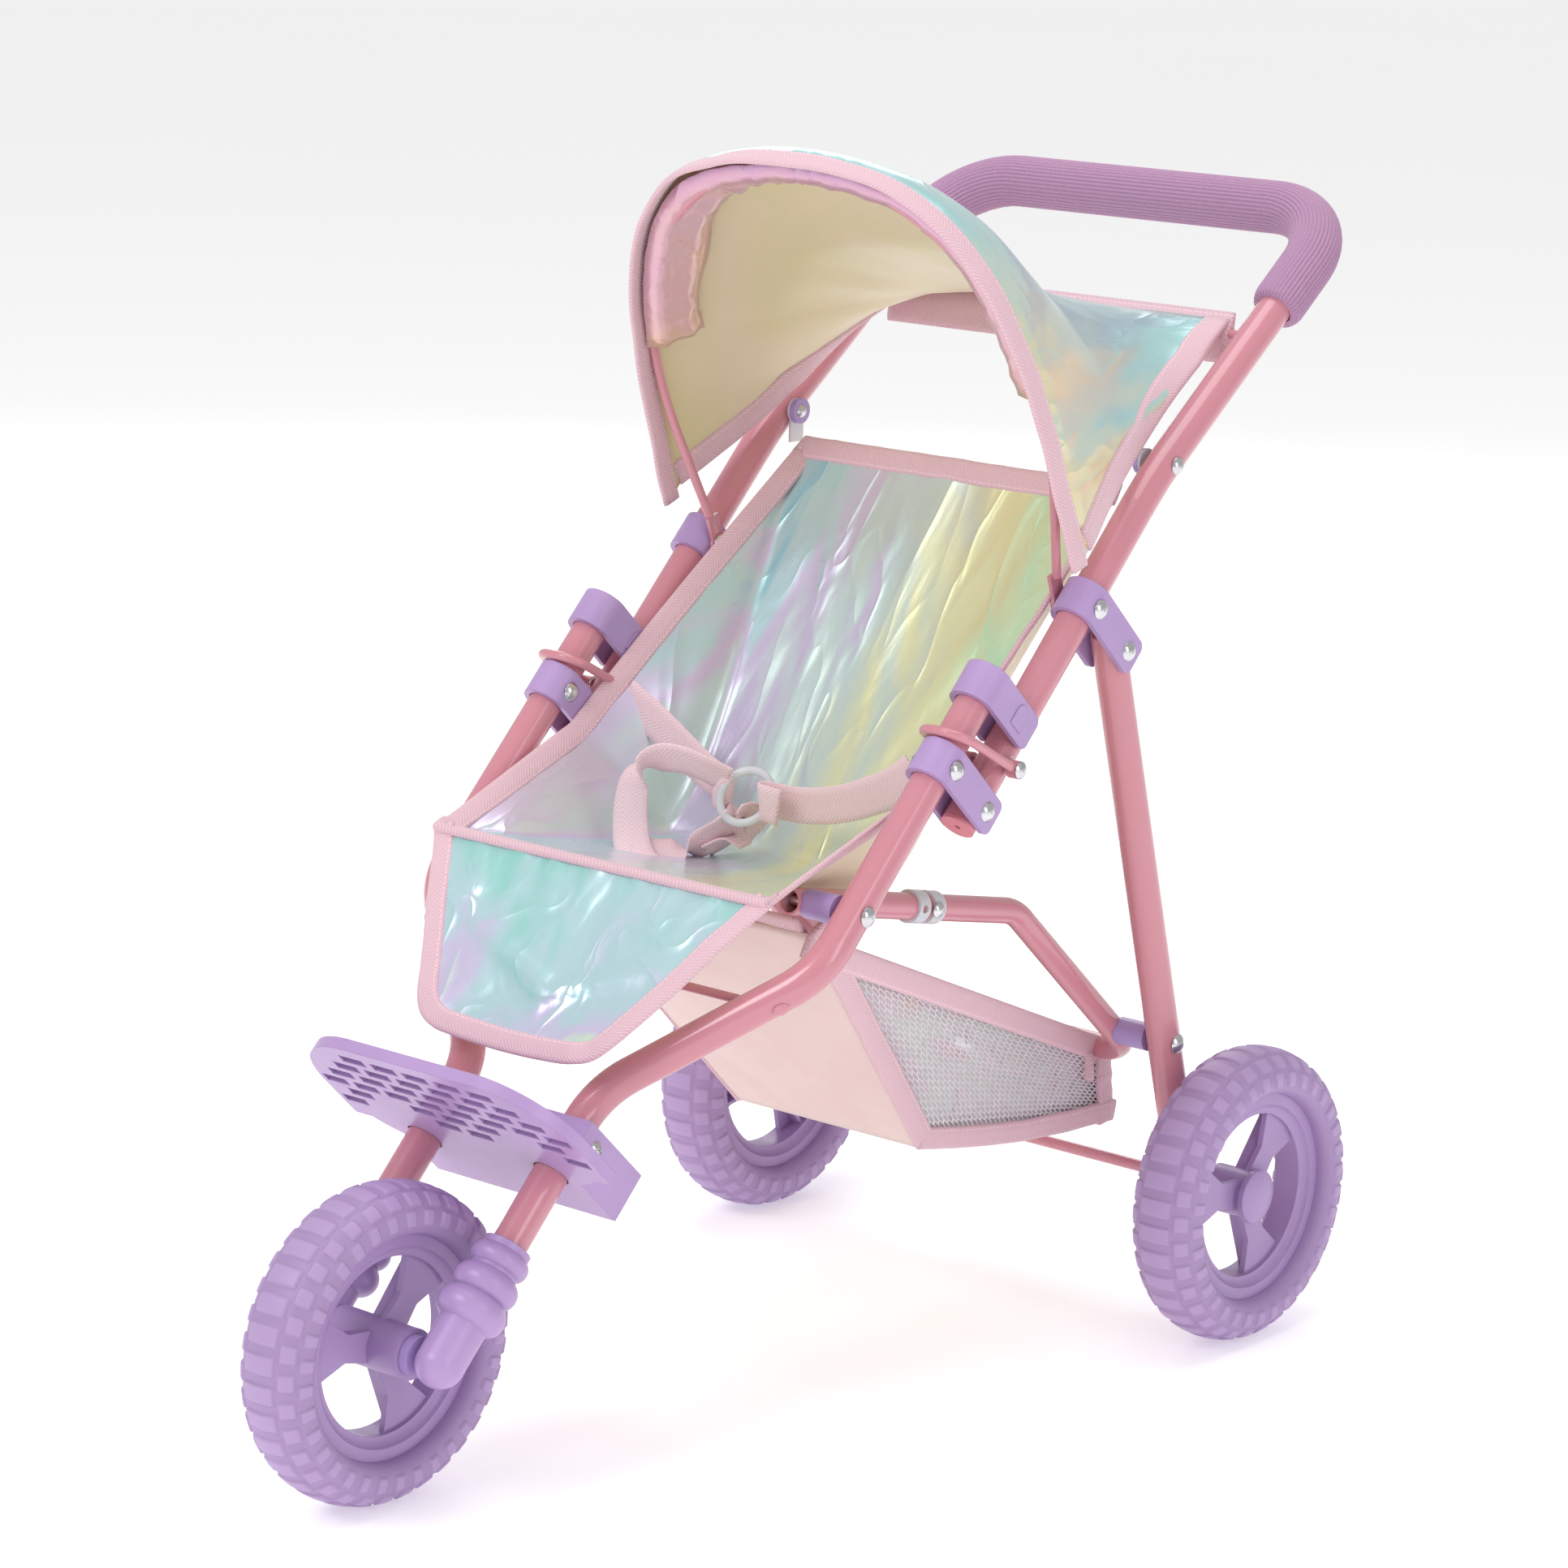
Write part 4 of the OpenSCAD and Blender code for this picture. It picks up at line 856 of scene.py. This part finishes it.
def basket():
    made = []
    def P(p, s):
        return V(s * p[0], p[1], p[2])
    front, fgrid = quad("basket_front", [P(FT, -1), P(FT, 1), P(FB, -1), P(FB, 1)], 41, 31,
                        mats["basket_cloth"], canopy_in, -.004, 1)
    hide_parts("basket")
    made.append(front)
    floor, ogrid = quad("basket_floor", [P(FB, -1), P(FB, 1), P(BB, -1), P(BB, 1)], 31, 31, clear_film,
                        clear_film, -.010, 4, .003)
    rear, rgrid = quad("basket_rear", [P(BB, -1), P(BB, 1), P(BT, -1), P(BT, 1)], 31, 11,
                       mats["basket_cloth"], canopy_in, .0, 6)
    made += [floor, rear]
    sheets = [(floor, ogrid, [])]
    for tag, s in (("right", 1), ("left", -1)):
        c = [P(FT, s), P(BT, s), P(FB, s), P(BB, s)]
        inner = sum(c, Vector()) / 4
        made.append(net("basket_net_" + tag, c))
        film = [p.lerp(inner, .03) - Vector((s * .004, 0, 0)) for p in c]
        film[0], film[2] = film[0].lerp(film[1], .04), film[2].lerp(film[3], .04)
        inner_film, sgrid = quad("basket_film_" + tag, film, 31, 21, clear_film, clear_film, .003, 8, .006)
        made.append(inner_film)
        before = len(made)
        def edge(a, b, name, width, n=40, sag=0.0):
            at = [i / (n - 1) for i in range(n)]
            pts = [a.lerp(b, f) + Vector((0, 0, -sag * math.sin(math.pi * f))) for f in at]
            return tape(name, pts, [inner - p for p in pts], width, .0028, wave=.0006, seed=len(made))
        made.append(edge(c[0], c[1], "basket_hem_" + tag, .0115))
        made.append(edge(c[0], c[2], "basket_seam_" + tag, .0110))
        made.append(edge(c[2], c[3], "basket_lower_tape_" + tag, .0105, sag=.004))
        made.append(edge(c[1], c[3], "basket_end_tape_" + tag, .0110))
        sheets.append((inner_film, sgrid, [made[before - 2]] + made[before:]))
    # the rear edge wraps the cross bar
    n = 40
    pts = [V(mix(70, -70, i / (n - 1)), -12, 131) for i in range(n)]
    made.append(tape("basket_rear_tape", pts, [Vector((0, .1, -1))] * n, .0140, .0030))
    pts = [V(mix(78, -78, i / (n - 1)), -258, 250) for i in range(n)]
    made.append(tape("basket_front_tape", pts, [Vector((0, .6, -.7))] * n, .0120, .0030, wave=.001, seed=3))
    sheets += [(front, fgrid, [made[-1]]), (rear, rgrid, [made[-2]])]
    for o in made:
        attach(o, "link_frame")
        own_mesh(o)
basket()

# ---------------------------------------------------------------- small parts

# Points along a spring and in one turn of it, the coil's radius and the wire's, in metres
SPRING_N, SPRING_TURN, SPRING_R, SPRING_WIRE = 90, 20, .0036, .00042
def springs():
    """The small coil spring on each lock ring's pivot."""
    for tag, s in (("right", 1), ("left", -1)):
        lo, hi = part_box("lock_ring_" + tag)
        c = Vector(((lo.x + hi.x) / 2, REAR_Y - .16932, .316492))
        pts = []
        for i in range(SPRING_N):
            a = 2 * math.pi * i / SPRING_TURN
            out = s * (.0105 + .0042 * i / SPRING_N)
            pts.append(c + Vector((out, SPRING_R * math.cos(a), SPRING_R * math.sin(a))))
        pts = [pts[0] + Vector((0, -.003, .006))] + pts + [pts[-1] + Vector((0, .002, -.004))]
        t = tangents(pts)
        fr = []
        for d in t:
            x = d.cross(Vector((.2, .3, .93))).normalized()
            fr.append((x, d.cross(x).normalized()))
        prof = [(SPRING_WIRE * math.cos(a), SPRING_WIRE * math.sin(a)) for a in np.linspace(0, 2 * math.pi,
                                                                                            9)[:-1]]
        o = loop_sweep("lock_spring_" + tag, pts, fr, prof, mats["steel"])
        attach(o, "lock_ring_" + tag)
springs()


# The front axle's Y and Z, and the front tubes' slope above the floor
WHEELBASE_Y, AXLE_Z, RAKE = -453.6, 75, math.radians(45.5)
# Where the front tubes splay: (half width, place up the tube) at each end, and the tubes' radius in metres
NARROW, WIDE, TUBE_R = (40, 146), (121, 230), .0085
def raked(up):
    """The y and z of the front tubes' line, up millimetres from the front axle."""
    return WHEELBASE_Y + up * math.cos(RAKE), AXLE_Z + up * math.sin(RAKE)


def rod_ends():
    """The cross rod's ends, peened over and painted on the outer side of each front tube."""
    lo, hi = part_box("front_cross_rod")
    for tag, s in (("right", 1), ("left", -1)):
        along = (V(s * WIDE[0], *raked(WIDE[1])) - V(s * NARROW[0], *raked(NARROW[1]))).normalized()
        out = (Vector((s, 0, 0)) - along * along.x * s).normalized()
        side = along.cross(out)
        reach = hi.x - .002 + TUBE_R / abs(out.x)
        c = Vector((s * reach, (lo.y + hi.y) / 2, (lo.z + hi.z) / 2)) - out * .0004
        verts, k, rings = [], 32, 7
        for j in range(rings):
            a = math.pi / 2 * j / (rings - 1)
            r, h = .0046 * math.cos(a), .0018 * math.sin(a)
            for i in range(k):
                q = 2 * math.pi * i / k
                verts.append(c + out * h + along * (r * math.cos(q)) + side * (r * .8 * math.sin(q)))
        faces = tube_faces(rings, k) + [tuple(range(k))]
        o = mesh("cross_rod_end_" + tag, verts, faces, mats["pink_paint"])
        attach(o, "front_frame")
rod_ends()

# ---------------------------------------------------------------- stage

# Each light's name, place, aim, size in metres and power in watts
LIGHTS = [
    ("key", (-.5, -2.2, 2.1), (0, 0, .3), (1.3, 1.0), 27),
    ("side", (2.4, -.5, 1.2), (0, 0, .3), (.7, 1.6), 10),
    ("top", (0, .2, 2.6), (0, 0, .3), (1.6, 1.6), 22),
    ("back", (-1.6, 1.8, 1.5), (0, 0, .35), (1.0, 1.2), 10),
]
# The floor's half side in metres, the world's light and how much brighter the camera sees it
FLOOR_HALF, WORLD_LIGHT, SEEN_MORE = 60, .56, .45
def stage():
    me = bpy.data.meshes.new("floor")
    corners = [(x * FLOOR_HALF, y * FLOOR_HALF, 0) for x, y in ((-1, -1), (1, -1), (1, 1), (-1, 1))]
    me.from_pydata(corners, [], [(0, 1, 2, 3)])
    o = bpy.data.objects.new("floor", me)
    bpy.context.scene.collection.objects.link(o)
    m = Mat("floor", Roughness=.9, Emission_Color=(1, 1, 1, 1), Emission_Strength=.34)
    m.put("Base Color", m.ramp(m.noise(1.2), [(0, (.93, .93, .935)), (1, (.95, .95, .95))]))
    me.materials.append(m.m)
    w = bpy.data.worlds.new("studio")
    bpy.context.scene.world = w
    w.use_nodes = True
    back = w.node_tree.nodes["Background"]
    back.inputs[0].default_value = (1, 1, 1, 1)
    seen = w.node_tree.nodes.new("ShaderNodeLightPath")
    level = w.node_tree.nodes.new("ShaderNodeMath")
    level.operation = "MULTIPLY_ADD"
    level.inputs[1].default_value, level.inputs[2].default_value = SEEN_MORE, WORLD_LIGHT
    w.node_tree.links.new(seen.outputs["Is Camera Ray"], level.inputs[0])
    w.node_tree.links.new(level.outputs[0], back.inputs[1])
    def area(name, at, to, size, power):
        l = bpy.data.lights.new(name, "AREA")
        l.energy = power
        l.shape = "RECTANGLE"
        l.size, l.size_y = size
        ob = bpy.data.objects.new(name, l)
        bpy.context.scene.collection.objects.link(ob)
        ob.location = at
        ob.rotation_euler = (Vector(to) - Vector(at)).to_track_quat("-Z", "Y").to_euler()
    for light in LIGHTS:
        area(*light)
stage()


# Where the camera stands, its angles to the right, up and tilted, and its lens on a 36 mm sensor
CAMERA_AT, CAMERA_ANGLES, LENS, SENSOR = (1432.32, -1878.13, 805.13), (40.09, 13.08, 1.21), 108.158, 36
def camera():
    az, el, roll = (math.radians(a) for a in CAMERA_ANGLES)
    v = Vector((-math.sin(az) * math.cos(el), math.cos(az) * math.cos(el), -math.sin(el)))
    r = v.cross(Vector((0, 0, 1))).normalized()
    u = r.cross(v)
    r2, u2 = r * math.cos(roll) + u * math.sin(roll), u * math.cos(roll) - r * math.sin(roll)
    cam = bpy.data.cameras.new("camera")
    cam.sensor_width, cam.lens = SENSOR, LENS
    cam.clip_end = 50
    o = bpy.data.objects.new("camera", cam)
    bpy.context.scene.collection.objects.link(o)
    m = Matrix((r2, u2, -v)).transposed().to_4x4()
    m.translation = V(*CAMERA_AT)
    o.matrix_world = m
    bpy.context.scene.camera = o
camera()
bpy.context.scene.view_settings.view_transform = "Standard"
